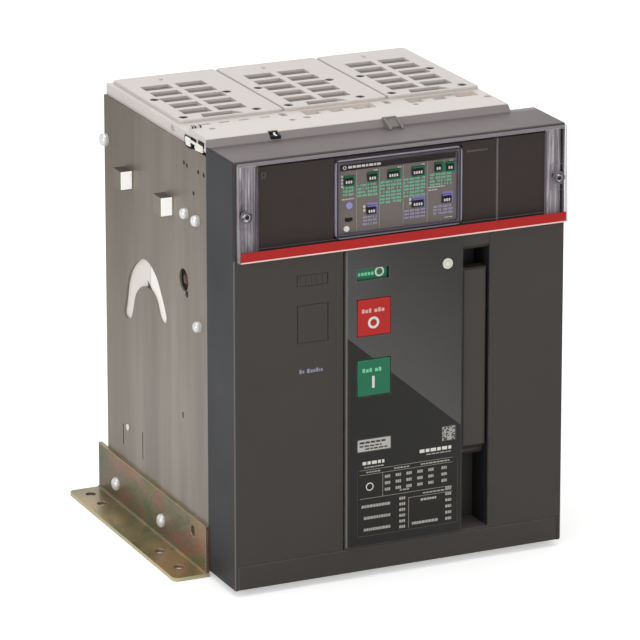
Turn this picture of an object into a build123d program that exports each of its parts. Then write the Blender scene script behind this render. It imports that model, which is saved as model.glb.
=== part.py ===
from build123d import *
import math
import os

# Fixed three-pole low-voltage air circuit breaker. Millimetres, +Z up, -Y is the front,
# -X is the left. Origin: on the mounting plane under the feet, in the middle of the four
# outer foot holes. The layout is drawn with the front cover's face at y = -163; writing
# the parts moves it by ORIGIN_Y. Pairs of numbers for X-parallel axes are (y, z).

# ---------------------------------------------------------------- driving dimensions
PITCH = 90.0                         # distance between poles
POLES = (-PITCH, 0.0, PITCH)
HALF = 134.5                         # half width over the side plates
PLATE_T = 2.0
INNER = HALF - PLATE_T               # inner face of a side plate
CASE_HALF = INNER - 0.2
PLATE_FRONT, PLATE_BACK = -110.8, 99.4
PLATE_TOP = 340.5
CASE_SPLIT, CASE_BACK = 30, 99       # joint between the case halves, and the back
CASE_TOP = 349.5
PLAY = 0.06                          # radial play of a running fit

COVER_X0, COVER_X1 = -135.3, 147.6
COVER_FRONT, COVER_BACK = -163.0, -111.3
COVER_Z0, COVER_Z1 = 5.0, 349.4
COVER_WALL = 2.8

FOOT_EDGE = 164.7                    # outer edge of a foot flange
FOOT_T = 3.0
FOOT_HOLE_X, FOOT_HOLE_R = 151.0, 4.5
OUTER_FOOT_HOLES = (98.0, -88.0)
INNER_FOOT_HOLES = (73.0, -49.0)
ORIGIN_Y = sum(OUTER_FOOT_HOLES) / 2

# fasteners through the side plates
REAR_BOLT, FRONT_BOLT = (72.9, 17.9), (-23.0, 17.9)
REAR_STUD = (95, 303.8)
STUDS = ((-69.9, 285.3), (-92, 285.1), (-94.4, 200.1), REAR_STUD)
RIVET = (54.4, 72)

# shafts and pivots
SHAFT, SHAFT_R = (-64.0, 230.0), 9.5             # main shaft
CONTACT, CONTACT_R = (30.0, 120.0), 5.0          # moving contact pivot
HANDLE, HANDLE_R = (-147.0, 92.0), 4.0           # charging handle shaft
CAMSHAFT, CAMSHAFT_R = (-104.6, 134.4), 8.0
TRIP = (-132.0, 233.6)                           # opening latch shaft
CLOSE = (-132.0, 184.9)                          # closing latch shaft
LATCH_R = 4.0
OPEN_ANGLE = 16.0                                # contacts stand open by this angle
CRANK_LENGTH, CRANK_ANGLE = 30.0, -135.0         # cranks on the main shaft
CARRIER_PIN, CARRIER_PIN_R = (16, 175), 3.0      # with the contacts closed

# terminals
TERMINAL_HALF, TERMINAL_T = 30, 15
UPPER_Z, LOWER_Z = 214, 89                       # undersides

# buttons and handle recess
BUTTON_X, OFF_Z, ON_Z = -18.75, 213.55, 164.85
RECESS_X0, RECESS_X1 = 59.1, 82.0

MIN3 = (Align.MIN, Align.MIN, Align.MIN)
parts = {}


# ---------------------------------------------------------------- helpers
def part(build):
    """Build a part and file it under the function's name."""
    parts[build.__name__] = build()
    return build


def per_pole(build):
    """Build one piece at each pole's x and file them together."""
    parts[build.__name__] = [build(x) for x in POLES]
    return build


def box(x0, x1, y0, y1, z0, z1):
    return Pos(x0, y0, z0) * Box(x1 - x0, y1 - y0, z1 - z0, align=MIN3)


def mid_box(x, half, y0, y1, z0, z1):
    return box(x - half, x + half, y0, y1, z0, z1)


def cyl_x(y, z, radius, x0, x1):
    return Pos((x0 + x1) / 2, y, z) * Rot(0, 90, 0) * Cylinder(radius, x1 - x0)


def cyl_y(x, z, radius, y0, y1):
    return Pos(x, (y0 + y1) / 2, z) * Rot(90, 0, 0) * Cylinder(radius, y1 - y0)


def cyl_z(x, y, radius, z0, z1):
    return Pos(x, y, (z0 + z1) / 2) * Cylinder(radius, z1 - z0)


def prism(points, length, along):
    return extrude(make_face(Polyline(*points, close=True)), amount=length, dir=along)


def prism_x(points, x0, x1):
    """Polygon in (y, z), extruded along X."""
    return Pos(x0, 0, 0) * prism([(0, y, z) for y, z in points], x1 - x0, (1, 0, 0))


def round_box(x0, x1, y0, y1, z0, z1, radius):
    """Box whose four edges along Y are rounded."""
    block = box(x0, x1, y0, y1, z0, z1)
    return fillet(block.edges().filter_by(Axis.Y), radius)


def swung(shape, pivot, angle):
    """Turn a shape drawn about the X axis and carry it to the pivot."""
    return Pos(0, *pivot) * Rot(angle, 0, 0) * shape


def opened(shape):
    """Swing a shape drawn with closed contacts to the open position."""
    return swung(Pos(0, -CONTACT[0], -CONTACT[1]) * shape, CONTACT, OPEN_ANGLE)


def polar(centre, radius, angle):
    turn = math.radians(angle)
    return (centre[0] + radius * math.cos(turn), centre[1] + radius * math.sin(turn))


def heading(start, end):
    return math.degrees(math.atan2(end[1] - start[1], end[0] - start[0]))


def front_edges(shape, y):
    """Edges on the foremost face, which lies at y."""
    return [e for e in shape.edges() if e.center().Y < y + 0.1]


def domed_head(y, z, radius, x_out, x_in, dome):
    head = cyl_x(y, z, radius, x_out, x_in)
    return fillet([e for e in head.edges() if e.center().X < x_out + 0.1], dome)


def both_sides(pieces):
    return pieces + [mirror(piece, about=Plane.YZ) for piece in pieces]


def spring_z(x, y, z0, z1, radius, wire_r, turns):
    height = z1 - z0 - 2 * wire_r
    path = Helix(pitch=height / turns, height=height, radius=radius)
    wire = Plane(origin=path @ 0, z_dir=path % 0) * Circle(wire_r)
    return Pos(x, y, z0 + wire_r) * sweep(wire, path=path, is_frenet=True)


def smooth(points, steps):
    """Closed Catmull-Rom curve through the points, as a fine polygon."""
    out = []
    count = len(points)
    for i in range(count):
        neighbours = [points[(i + k - 1) % count] for k in range(4)]
        for j in range(steps):
            t = j / steps
            out.append(tuple(
                0.5 * (2 * b + (c - a) * t + (2 * a - 5 * b + 4 * c - d) * t * t
                       + (3 * b - a - 3 * c + d) * t ** 3)
                for a, b, c, d in zip(*neighbours)))
    return out


# ---------------------------------------------------------------- side plates
# outline of the horseshoe window (y, z)
HORSESHOE = (
    (61, 167), (58.1, 177.5), (51.7, 198.3), (40.3, 212.5), (23.7, 222.5), (7.8, 223.8),
    (-7.5, 216.5), (-17.5, 205), (-25.5, 193), (-27.5, 186), (-22, 181.5), (-13.0, 184),
    (-4.5, 196.5), (7, 201.8), (22, 200.3), (35.5, 190), (42, 174.5), (47, 166.5), (55, 164.5))
# round holes (y, z, radius)
PLATE_HOLES = (
    (-65.7, 325, 2), (-71.6, 324, 2), (-94, 324.5, 2), (-104.5, 324.6, 2), (-84.5, 305, 2),
    (*REAR_BOLT, 4.2), (*FRONT_BOLT, 4.2), *((y, z, 3.1) for y, z in STUDS), (*RIVET, 1.6))
# slots (y0, y1, z0, z1)
PLATE_SLOTS = ((64.8, 66.8, 54.2, 71.5), (23.5, 25.5, 54.2, 76.8), (-61.5, -58.5, 115, 120))
THROUGH_LEFT = (-140, -130)          # x range of a cut through the left plate or foot
POCKET_DEPTH, POCKET_WALL = 10.3, 1.4
POCKET_Z0, POCKET_Z1 = 276.7, 291.4


@part
def left_side_plate():
    plate = box(-HALF, -INNER, PLATE_FRONT, PLATE_BACK, 4, PLATE_TOP)
    plate += box(-INNER, -122, PLATE_FRONT, -108.8, 30, 328)   # inward front flange
    plate -= cyl_x(-63.8, 229.7, 9, *THROUGH_LEFT)             # shaft end window
    plate -= cyl_x(-69.5, 219.5, 3, *THROUGH_LEFT)
    plate -= prism_x(smooth(HORSESHOE, 4), *THROUGH_LEFT)
    for y in (40.0, -43.0):                                    # pressed-out pockets
        pocket = box(-HALF - POCKET_DEPTH, -HALF, y, y + 16, POCKET_Z0, POCKET_Z1)
        pocket = fillet(pocket.edges().filter_by(Axis.Z).sort_by(Axis.X)[:2], 0.8)
        plate += pocket
        plate -= box(-HALF - POCKET_DEPTH + POCKET_WALL, -130,
                     y + POCKET_WALL, y + 16 - POCKET_WALL,
                     POCKET_Z0 + POCKET_WALL, POCKET_Z1 - POCKET_WALL)
    for hole in PLATE_HOLES:
        plate -= cyl_x(*hole, *THROUGH_LEFT)
    for slot in PLATE_SLOTS:
        plate -= box(*THROUGH_LEFT, *slot)
    return plate


@part
def right_side_plate():
    return mirror(parts["left_side_plate"], about=Plane.YZ)


# ---------------------------------------------------------------- feet and fasteners
@part
def left_foot_bracket():
    web_x = -HALF - FOOT_T
    foot = box(web_x, -HALF, -110.6, 113.0, 0, 41.5)
    foot += box(-FOOT_EDGE, -HALF, -111.6, 113.0, 0, FOOT_T)
    bend = [e for e in foot.edges().filter_by(Axis.Y)
            if abs(e.center().X - web_x) < 0.01 and abs(e.center().Z - FOOT_T) < 0.01]
    foot = fillet(bend, 2.0)
    corners = [e for e in foot.edges().filter_by(Axis.Z)
               if abs(e.center().X + FOOT_EDGE) < 0.01]
    foot = fillet(corners, 5.0)
    for y in OUTER_FOOT_HOLES + INNER_FOOT_HOLES:
        foot -= cyl_z(-FOOT_HOLE_X, y, FOOT_HOLE_R, -1, 5)
    for bolt in (REAR_BOLT, FRONT_BOLT):
        foot -= cyl_x(*bolt, 4.2, *THROUGH_LEFT)
    foot -= cyl_x(-85.3, 29.7, 4.7, *THROUGH_LEFT)
    return foot


@part
def right_foot_bracket():
    return mirror(parts["left_foot_bracket"], about=Plane.YZ)


@part
def foot_bracket_bolts():
    seat = -HALF - FOOT_T
    return both_sides([domed_head(*bolt, 5.6, -141.6, seat, 3.2) + cyl_x(*bolt, 4, seat, -129.5)
                       for bolt in (REAR_BOLT, FRONT_BOLT)])


@part
def side_plate_studs():
    studs = []
    for stud in STUDS:
        head_r = 5.5 if stud == REAR_STUD else 4.5
        studs.append(domed_head(*stud, head_r, -139.7, -HALF, 3.0)
                     + cyl_x(*stud, 3, -HALF, -127))
    studs.append(cyl_x(*RIVET, 2.6, -135.6, -HALF) + cyl_x(*RIVET, 1.5, -HALF, -130.5))
    return both_sides(studs)


# ---------------------------------------------------------------- pole case
LID_SCREWS = [(dx, y) for dx in (-31.2, 31.2) for y in (-34, 25)]   # (from the pole, y)
CAVITY_HALF, CAVITY_Z0, CAVITY_Z1 = 39, 12, 337.5
MOUTH_HALF = 27                      # opening in the top of each pole
TERMINAL_GAP = 0.3


def side_holes(y, z, radius, depth_x):
    """A pair of holes in the case's side walls."""
    return cyl_x(y, z, radius, -134, -depth_x) + cyl_x(y, z, radius, depth_x, 134)


@part
def pole_case_front():
    case = box(-CASE_HALF, CASE_HALF, -48, CASE_SPLIT, 6, CASE_TOP)
    case += box(-CASE_HALF, CASE_HALF, -62, -48, 334, CASE_TOP)
    case += box(-CASE_HALF, CASE_HALF, -76.8, -62, 343, CASE_TOP)
    for pole in POLES:
        case -= mid_box(pole, CAVITY_HALF, -42, CASE_SPLIT, CAVITY_Z0, CAVITY_Z1)
        case -= mid_box(pole, MOUTH_HALF, -28, CASE_SPLIT, 337, 351)
        case -= mid_box(pole, 10, -49, -41, 172, 214)          # coupling rod opening
        for dx, y in LID_SCREWS:
            case -= cyl_z(pole + dx, y, 2.05, 338, 351)
    for pole in POLES[1:]:                                     # channel in front of the lids
        case -= box(pole - 27, pole + 34, -61, -45.5, 345.5, 351)
        for dx in (-12, 8):
            case += box(pole + dx, pole + dx + 9, -56, -48, 345.4, 348.2)
        case -= box(pole - 46, pole - 40.5, -54, -46, 344, 351)
    for x in (-110.2, -94.0, -77.5, -59.2):
        case -= mid_box(x, 4.2, -52.5, -50.0, 346, 351)
    case -= side_holes(*FRONT_BOLT, 4.4, 128)
    case -= box(-133, -130.5, -43, -35, 343.5, 347.6)          # notch in the left edge
    return case


@part
def pole_case_rear():
    case = box(-CASE_HALF, CASE_HALF, CASE_SPLIT, CASE_BACK, 6, CASE_TOP)
    for pole in POLES:
        case -= mid_box(pole, CAVITY_HALF, CASE_SPLIT, 91, CAVITY_Z0, CAVITY_Z1)
        case -= mid_box(pole, MOUTH_HALF, CASE_SPLIT, 86, 337, 351)
        for z in (UPPER_Z, LOWER_Z):
            case -= mid_box(pole, TERMINAL_HALF + TERMINAL_GAP, 90, 100,
                            z - TERMINAL_GAP, z + TERMINAL_T + TERMINAL_GAP)
        for dx in (-24, -8, 8, 24):                            # ribs on the back
            for z0, z1 in ((120, 200), (240, 330)):
                case += mid_box(pole + dx, 1.5, CASE_BACK, CASE_BACK + 2.5, z0, z1)
    case -= side_holes(*REAR_BOLT, 4.4, 128)
    case -= side_holes(*RIVET, 1.8, 128)
    case -= side_holes(*REAR_STUD, 3.2, 126)
    return case


# round recesses in the strip (x, y, radius)
STRIP_RECESSES = ((-50.9, -85.6, 2.6), (-37.6, -83.8, 3.2), (118.7, -85, 3.2),
                  (56.4, -82.8, 2.6), (-118, -84, 2.6))


@part
def top_front_strip():
    strip = box(-134.4, 123, -111.1, -77, 349.6, 354.9)
    strip = fillet([e for e in strip.edges().filter_by(Axis.X) if e.center().Z > 354], 1.2)
    strip += box(-121, 121, -108.6, -106.6, 331, 349.8)        # downward flange
    for recess in STRIP_RECESSES:
        strip -= cyl_z(*recess, 352, 356)
    # returns over the left side plate
    strip += box(-134.4, -132.6, -110.6, -91.0, 343.6, 349.8)
    strip += box(-134.4, -132.6, -79.6, -69.7, 341.2, 349.8)
    # slotted lug at the left end, then a notch in the front edge
    strip += box(-133.6, -124.0, -77.2, -73.6, 349.6, 356.2) - box(-128.4, -127.0, -77, -73, 351, 357)
    strip -= box(-83, -74.5, -112, -107.5, 350.5, 356)
    return strip


# ---------------------------------------------------------------- arc chambers
LID_TOP = CASE_TOP + 2.7
LID_SLOT = ((-17, -40), (18, -40), (11.5, -30.5), (-15, -30.5))   # (x from the pole, y)
SPLITTER_VEE = ((-9, 255), (9, 255), (1.5, 290), (-1.5, 290))     # (x from the pole, z)
CHEEK_X = 25                         # middle of a cheek, from the pole


def arc_chamber(pole):
    lid = box(pole - 38, min(pole + 50.5, 132.0), -43.0, 97.0, CASE_TOP, LID_TOP)
    lid = fillet(lid.edges().filter_by(Axis.Z), 3.0)
    lid = chamfer(lid.faces().sort_by(Axis.Z)[-1].edges(), 0.7)
    for dx in (-14.8, 14.8):                                   # two rows of vents
        for k in range(5):
            y = 59.3 - 19.65 * k
            lid -= mid_box(pole + dx, 12, y - 6.8, y + 6.8, 345, 356)
    lid -= prism([(pole + x, y, 345) for x, y in LID_SLOT], 12, (0, 0, 1))
    for dx, y in LID_SCREWS:
        lid -= cyl_z(pole + dx, y, 3.7, 345, 356)
    lid += cyl_y(pole - 2, LID_TOP, 1.2, 80, 84)
    for dx in (-CHEEK_X, CHEEK_X):                             # cheeks beside the plates
        lid += mid_box(pole + dx, 1.5, -26, 84, 252, CASE_TOP + 0.5)
    return lid


for side, pole_x in zip(("left", "centre", "right"), POLES):
    parts["arc_chamber_" + side] = arc_chamber(pole_x)


def lid_screw(x, y):
    screw = cyl_z(x, y, 3.5, CASE_TOP, CASE_TOP + 2.2) + cyl_z(x, y, 2.0, 339, CASE_TOP)
    return screw - cyl_z(x, y, 1.7, CASE_TOP + 1, CASE_TOP + 3)


@part
def arc_chamber_screws():
    return [lid_screw(pole + dx, y) for pole in POLES for dx, y in LID_SCREWS]


def splitter_plate(pole, y):
    vee = prism([(pole + x, y - 1, z) for x, z in SPLITTER_VEE], 4, (0, 1, 0))
    return mid_box(pole, 23.4, y, y + 2, 256, 334) - vee


@part
def arc_splitter_plates():
    return [splitter_plate(pole, -20 + 12.2 * k) for pole in POLES for k in range(9)]


# ---------------------------------------------------------------- poles
TERMINAL_BACK = 134
LOWER_TOP = LOWER_Z + TERMINAL_T
# closed position, (y, z)
FINGER = ((23, 122), (39.5, 122), (38.5, 205), (47.9, 216), (47.9, 240), (41, 246), (33, 240),
          (27, 200))
CARRIER = ((20, 128), (27, 112), (36, 112), (38.5, 128), (36, 200), (20, 204), (14, 190))
CARRIER_LUG = ((9, 168), (23, 162), (23, 188), (9, 182))
# arms each side of a coupling rod (x0 and x1 from the pole)
FORK = ((-12, -7.2), (7.2, 12))
CRANK_PIN = polar(SHAFT, CRANK_LENGTH, CRANK_ANGLE)


def terminal_holes(pole, z0, z1):
    return [cyl_z(pole + dx, 120, 5.5, z0, z1) for dx in (-15, 15)]


@per_pole
def upper_terminals(pole):
    bar = mid_box(pole, TERMINAL_HALF, 54, TERMINAL_BACK, UPPER_Z, UPPER_Z + TERMINAL_T)
    bar += mid_box(pole, 28, 51, 60, 200, 243)
    return bar - terminal_holes(pole, 210, 232)


@per_pole
def fixed_contact_tips(pole):
    return mid_box(pole, 26, 48, 51, 222, 240)


@per_pole
def lower_terminals(pole):
    bar = mid_box(pole, TERMINAL_HALF, 45, TERMINAL_BACK, LOWER_Z, LOWER_TOP)
    bar += mid_box(pole, 36, 45, 56, LOWER_Z, LOWER_TOP)
    for x0 in (pole - 36, pole + 31):                          # pivot ears
        bar += box(x0, x0 + 5, 20, 45, LOWER_Z, 132)
    bar -= cyl_x(*CONTACT, CONTACT_R + 0.02, pole - 40, pole + 40)
    return bar - terminal_holes(pole, 85, 108)


@per_pole
def current_sensors(pole):
    ring = mid_box(pole, 38.5, 62, 86, 76, 117)
    ring -= mid_box(pole, TERMINAL_HALF + 0.6, 61, 87, LOWER_Z - 0.6, LOWER_TOP + 0.6)
    outer = ring.edges().filter_by(Axis.Y).sort_by(lambda e: -abs(e.center().X - pole))[:4]
    return fillet(outer, 4)


@per_pole
def flexible_braids(pole):
    braid = mid_box(pole, 24, 41.2, 44.2, 104.1, 124) + mid_box(pole, 24, 44.2, 56, 104.1, 107)
    for k in range(-2, 3):                                     # grooves between the strands
        braid -= mid_box(pole + 9.5 * k, 0.6, 44.0, 45.0, 109, 125)
    return braid


@per_pole
def contact_pivot_pins(pole):
    return cyl_x(*CONTACT, CONTACT_R, pole - 36, pole + 36)


def contact_finger(x0):
    finger = cyl_x(*CONTACT, 10, x0, x0 + 11)
    finger += prism_x(FINGER, x0, x0 + 11)
    finger -= cyl_x(*CONTACT, CONTACT_R + PLAY, x0 - 1, x0 + 12)
    return opened(finger)


@part
def contact_fingers():
    return [contact_finger(pole - 25 + 13 * k) for pole in POLES for k in range(4)]


@per_pole
def contact_carriers(pole):
    carrier = prism_x(CARRIER, pole - 30.5, pole + 30.5)
    carrier -= mid_box(pole, 25.3, 22, 60, 100, 210)           # room for the fingers
    carrier -= cyl_x(*CONTACT, CONTACT_R + PLAY, pole - 40, pole + 40)
    carrier -= mid_box(pole, 40, 10, 23, 100, 140)
    for x0, x1 in FORK:
        carrier += prism_x(CARRIER_LUG, pole + x0, pole + x1)
    carrier -= mid_box(pole, 7.2, 5, 23.2, 163, 188)
    carrier += cyl_x(*CARRIER_PIN, CARRIER_PIN_R, pole - 12, pole + 12)
    return opened(carrier)


@per_pole
def coupling_rods(pole):
    """Rod from the opened carrier's pin to the shaft crank."""
    low = polar(CONTACT, math.dist(CONTACT, CARRIER_PIN),
                heading(CONTACT, CARRIER_PIN) + OPEN_ANGLE)
    rod = cyl_x(*low, 6.5, pole - 6.5, pole + 6.5)
    rod += cyl_x(*CRANK_PIN, 9, pole - 6.5, pole + 6.5)
    bar = mid_box(pole, 5.5, 0, math.dist(low, CRANK_PIN), -4.5, 4.5)
    rod += swung(bar, low, heading(low, CRANK_PIN))
    rod -= cyl_x(*low, CARRIER_PIN_R + PLAY, pole - 8, pole + 8)
    rod -= cyl_x(*CRANK_PIN, 5.4, pole - 8, pole + 8)
    return rod


SPRING_X = (-58.0, 58.0)             # opening springs and their collars on the shaft


@part
def main_shaft():
    shaft = cyl_x(*SHAFT, SHAFT_R, -131.5, 131.5)
    for pole in POLES:
        for dx0, dx1 in FORK:
            x0, x1 = pole + dx0, pole + dx1
            crank = cyl_x(*SHAFT, 14, x0, x1) + cyl_x(*CRANK_PIN, 8, x0, x1)
            crank += swung(box(x0, x1, 0, CRANK_LENGTH, -7, 7), SHAFT, CRANK_ANGLE)
            shaft += crank
        shaft += cyl_x(*CRANK_PIN, 4.0, pole - 12, pole + 12)
    for x in SPRING_X:
        shaft += cyl_x(*SHAFT, 13, x - 4, x + 4)
    return shaft


# ---------------------------------------------------------------- operating mechanism
TIE_RODS = ((-60, 46), (-126, 46), (-60, 304), (-108, 304))
CAM_CRANK = 16                       # crank pin below the camshaft axis
LEVER_X0, LEVER_X1 = 48.2, 52.6      # ratchet lever
CRANK_X0, CRANK_X1 = 53.2, 56        # crank on the handle shaft
HANDLE_CRANK, HANDLE_ANGLE = 14.0, 5.0
HANDLE_PIN = polar(HANDLE, HANDLE_CRANK, HANDLE_ANGLE)
PAWL_ANGLE = 100
PAWL_PIN, PAWL_PIN_R = polar(CAMSHAFT, 28, PAWL_ANGLE), 2.5
PAWL_X0, PAWL_X1 = 54, 58.8
# (x, y) of each plunger
OPENING_PLUNGER, CLOSING_PLUNGER, PLUNGER_R = (28, -117), (-30, -115), 3.0


def mechanism_plate(x0, x1):
    plate = box(x0, x1, -140, -50, 24, 326)
    plate = chamfer(plate.edges().filter_by(Axis.X), 12)
    plate -= box(x0 - 1, x1 + 1, -145, -119, 277, 330)         # clears the trip unit
    for axis, radius in (
            (SHAFT, SHAFT_R + PLAY), (CAMSHAFT, CAMSHAFT_R + PLAY),
            (TRIP, LATCH_R + 0.05), (CLOSE, LATCH_R + 0.05), *((rod, 4.0) for rod in TIE_RODS)):
        plate -= cyl_x(*axis, radius, x0 - 1, x1 + 1)
    return plate


@part
def mechanism_side_plates():
    return [mechanism_plate(-48, -45), mechanism_plate(44, 47)]


def hex_nut(y, z, across_flats, x0, x1):
    radius = across_flats / math.sqrt(3)
    return prism_x([polar((y, z), radius, 60 * k + 30) for k in range(6)], x0, x1)


@part
def mechanism_tie_rods():
    return [cyl_x(*rod, 6, -45, 44) + cyl_x(*rod, 3.98, -50, 49)
            + hex_nut(*rod, 10, -53, -48) + hex_nut(*rod, 10, 47, 52) for rod in TIE_RODS]


@part
def camshaft():
    y, z = CAMSHAFT
    shaft = cyl_x(y, z, CAMSHAFT_R, -52, 62)
    profile = []
    for angle in range(0, 360, 10):
        radius = 16 + 10 * (0.5 - 0.5 * math.cos(math.radians(angle)))
        profile.append(polar(CAMSHAFT, radius, angle + 120))
    shaft += prism_x(profile, -12, -2)
    shaft += cyl_x(y, z, 12, 4, 9)
    shaft += box(4, 9, y - 6, y + 6, z - CAM_CRANK, z)
    shaft += cyl_x(y, z - CAM_CRANK, 3, 4, 26) + cyl_x(y, z - CAM_CRANK, 6, 4, 9)
    return shaft


@part
def closing_spring():
    return spring_z(18, CAMSHAFT[0], 52, 114.8, 7, 1.3, 12)


@part
def ratchet_wheel():
    teeth = []
    for k in range(18):
        teeth.append(polar(CAMSHAFT, 20.0, 20 * k))
        teeth.append(polar(CAMSHAFT, 16.8, 20 * k + 2.5))
    wheel = prism_x(teeth, 54, 59) + cyl_x(*CAMSHAFT, 12, 59, 62)
    return wheel - cyl_x(*CAMSHAFT, CAMSHAFT_R, 50, 65)


@part
def handle_shaft():
    """Shaft with the crank that rocks the ratchet lever."""
    shaft = cyl_x(*HANDLE, HANDLE_R, CRANK_X0, 84.6)
    shaft += cyl_x(*HANDLE, 7, CRANK_X0, CRANK_X1)
    shaft += swung(box(CRANK_X0, CRANK_X1, 0, HANDLE_CRANK, -4.5, 4.5), HANDLE, HANDLE_ANGLE)
    shaft += cyl_x(*HANDLE_PIN, 4.5, CRANK_X0, CRANK_X1)
    shaft += cyl_x(*HANDLE_PIN, 2.5, LEVER_X0, CRANK_X1)
    return shaft


@part
def ratchet_lever():
    angle = heading(CAMSHAFT, HANDLE_PIN)
    lever = cyl_x(*CAMSHAFT, 13, LEVER_X0, LEVER_X1)
    lever += swung(box(LEVER_X0, LEVER_X1, 0, 57, -7, 7), CAMSHAFT, angle)
    lever -= swung(box(48, 52.8, 42, 53.5, -3.5, 3.5), CAMSHAFT, angle)   # slot for the pin
    lever += swung(box(LEVER_X0, LEVER_X1, 0, 28, -6, 6), CAMSHAFT, PAWL_ANGLE)
    lever += cyl_x(*PAWL_PIN, 7, LEVER_X0, LEVER_X1) + cyl_x(*PAWL_PIN, PAWL_PIN_R, LEVER_X0, 59)
    lever -= cyl_x(*CAMSHAFT, CAMSHAFT_R + PLAY, 47, 54)
    return lever


@part
def drive_pawl():
    y, z = PAWL_PIN
    tip_outer = polar(CAMSHAFT, 24.5, 138)
    tip_inner = polar(CAMSHAFT, 20.6, 138)
    pawl = cyl_x(y, z, 5, PAWL_X0, PAWL_X1)
    pawl += prism_x([(y - 1, z + 4.9), tip_outer, tip_inner, (y - 2, z - 4.0)], PAWL_X0, PAWL_X1)
    return pawl - cyl_x(y, z, PAWL_PIN_R, 50, 60)


def latch_shaft(axis, arm_x0, arm_x1):
    y, z = axis
    shaft = cyl_x(y, z, LATCH_R, -48.5, 47.5)
    shaft += mid_box(BUTTON_X, 4, y - 3, y + 1.5, z - 25.5, z)  # tail behind the button
    shaft += box(arm_x0, arm_x1, y, y + 20, z - 3.5, z + 1)     # arm above the plunger
    return shaft


parts["trip_latch_shaft"] = latch_shaft(TRIP, 22, 34)
parts["close_latch_shaft"] = latch_shaft(CLOSE, -34, -26)


@part
def release_coils():
    bore = PLUNGER_R + 0.1
    return [
        round_box(14, 42, -127, -103, 186, 224, 2) - cyl_z(*OPENING_PLUNGER, bore, 200, 225),
        round_box(-43, -15, -121, -101, 146, 174, 2) - cyl_z(*CLOSING_PLUNGER, bore, 152, 175)]


parts["opening_coil_plunger"] = cyl_z(*OPENING_PLUNGER, PLUNGER_R, 205, 225.4)
parts["closing_coil_plunger"] = cyl_z(*CLOSING_PLUNGER, PLUNGER_R, 157, 176.6)


@part
def charging_motor():
    motor = cyl_x(-122, 66, 20, -116, -62)
    motor += box(-62, -54, -140, -88, 44, 148)                 # plate-like end box
    motor = chamfer(motor.edges().filter_by(Axis.X).filter_by(lambda e: e.length < 12), 6)
    return motor + cyl_x(-122, 66, 6, -120, -116)


@part
def auxiliary_contact_block():
    block = round_box(-122, -56, -106, -70, 262, 322, 2)
    for k in range(5):
        x0 = -116 + 12.4 * k
        for z in (300, 268):
            block -= box(x0, x0 + 7.6, -107, -100, z, z + 16)
    return block


@part
def opening_springs():
    return [spring_z(x, SHAFT[0], 120, 216.4, 7.5, 1.3, 16) for x in SPRING_X]


# ---------------------------------------------------------------- front cover
COVER_SCREWS = {"left": -125.8, "right": 140.0}
COVER_SCREW_Z, COVER_SCREW_R = 306.5, 3.0
# handle pocket (y, z)
POCKET = ((-165, 26.6), (-135.6, 26.6), (-135.6, 250.6), (-150.0, 252.6), (-160.5, 256.6),
          (-163.0, 259.6), (-165, 260.6))
KNOCKOUTS = ((-82.9, -56.1, 244.1, 253.7), (-82.7, -55.9, 198.5, 229.7))   # (x0, x1, z0, z1)
GROOVE = 1.1                         # width of a knock-out groove


@part
def front_cover():
    depth = COVER_BACK - COVER_FRONT
    inner_x0, inner_x1 = COVER_X0 + COVER_WALL, COVER_X1 - COVER_WALL
    cover = box(COVER_X0, COVER_X1, COVER_FRONT, COVER_BACK, COVER_Z0, COVER_Z1)
    outer = [e for e in cover.edges()
             if abs(e.center().Y - COVER_FRONT) < 0.01 or abs(e.length - depth) < 0.01]
    cover = fillet(outer, 1.6)
    cover -= box(inner_x0, inner_x1, COVER_FRONT + COVER_WALL, COVER_BACK + 1,
                 COVER_Z0 + COVER_WALL, COVER_Z1 - COVER_WALL)
    # recess behind the transparent cover
    cover -= box(-132.4, 144.8, -164, -159, 270.6, 347.0)
    cover += box(-133, 146, -159.2, -157.2, 266, 347.2)
    cover -= box(-48.5, 56.5, -165, -150, 279.6, 339.6)        # trip unit opening
    cover -= box(-41.8, 57.6, -165, -155, 27.0, 270.7)         # escutcheon opening
    # handle pocket, with a raised border beside it
    cover += box(57.4, 84.6, COVER_FRONT + 1, -133.5, 23.8, 262.6)
    cover -= prism_x(POCKET, RECESS_X0, RECESS_X1)
    cover -= cyl_x(*HANDLE, HANDLE_R + PLAY, 55, 85)
    cover += box(RECESS_X1 + 0.5, RECESS_X1 + 1.9, -163.7, -162, 27.6, 266.0)
    # bottom trim seat
    cover -= box(inner_x0, 144.6, -164, -160.9, COVER_Z0 - 1, 25.4)
    for x0, x1, z0, z1 in KNOCKOUTS:
        cover -= (box(x0, x1, -163.5, -162.2, z0, z1)
                  - box(x0 + GROOVE, x1 - GROOVE, -164, -162, z0 + GROOVE, z1 - GROOVE))
    for k in range(5):
        cover -= box(-80.0 + 4.6 * k, -79.3 + 4.6 * k, -163.5, -162.5, 246, 252)
    cover -= box(-43.6, -42.4, -163.5, -161.4, 25.4, 269.4)    # groove left of the escutcheon
    for x in COVER_SCREWS.values():
        cover -= cyl_y(x, COVER_SCREW_Z, COVER_SCREW_R + 0.1, -160, -156)
    # raised rear lip of the top, with its notch and catch
    root = COVER_Z1 - 0.4
    cover += prism_x([(-116.9, root), (-116.9, COVER_Z1 + 0.2), (-111.9, 354.4),
                      (COVER_BACK, 354.4), (COVER_BACK, root)], COVER_X0, 123.0)
    cover -= box(-83, -74.5, -118, -111, 350.6, 356)
    cover += box(14, 24.5, -113.6, COVER_BACK, root, 356.0)
    return cover


@part
def bottom_trim_strip():
    strip = box(COVER_X0 + COVER_WALL + 0.2, 144.4, COVER_FRONT, -161.0, 5.6, 25.0)
    return chamfer(strip.faces().sort_by(Axis.Y)[0].edges(), 0.5)


# ---------------------------------------------------------------- escutcheon
ESCUTCHEON_FRONT = -166.0
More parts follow.
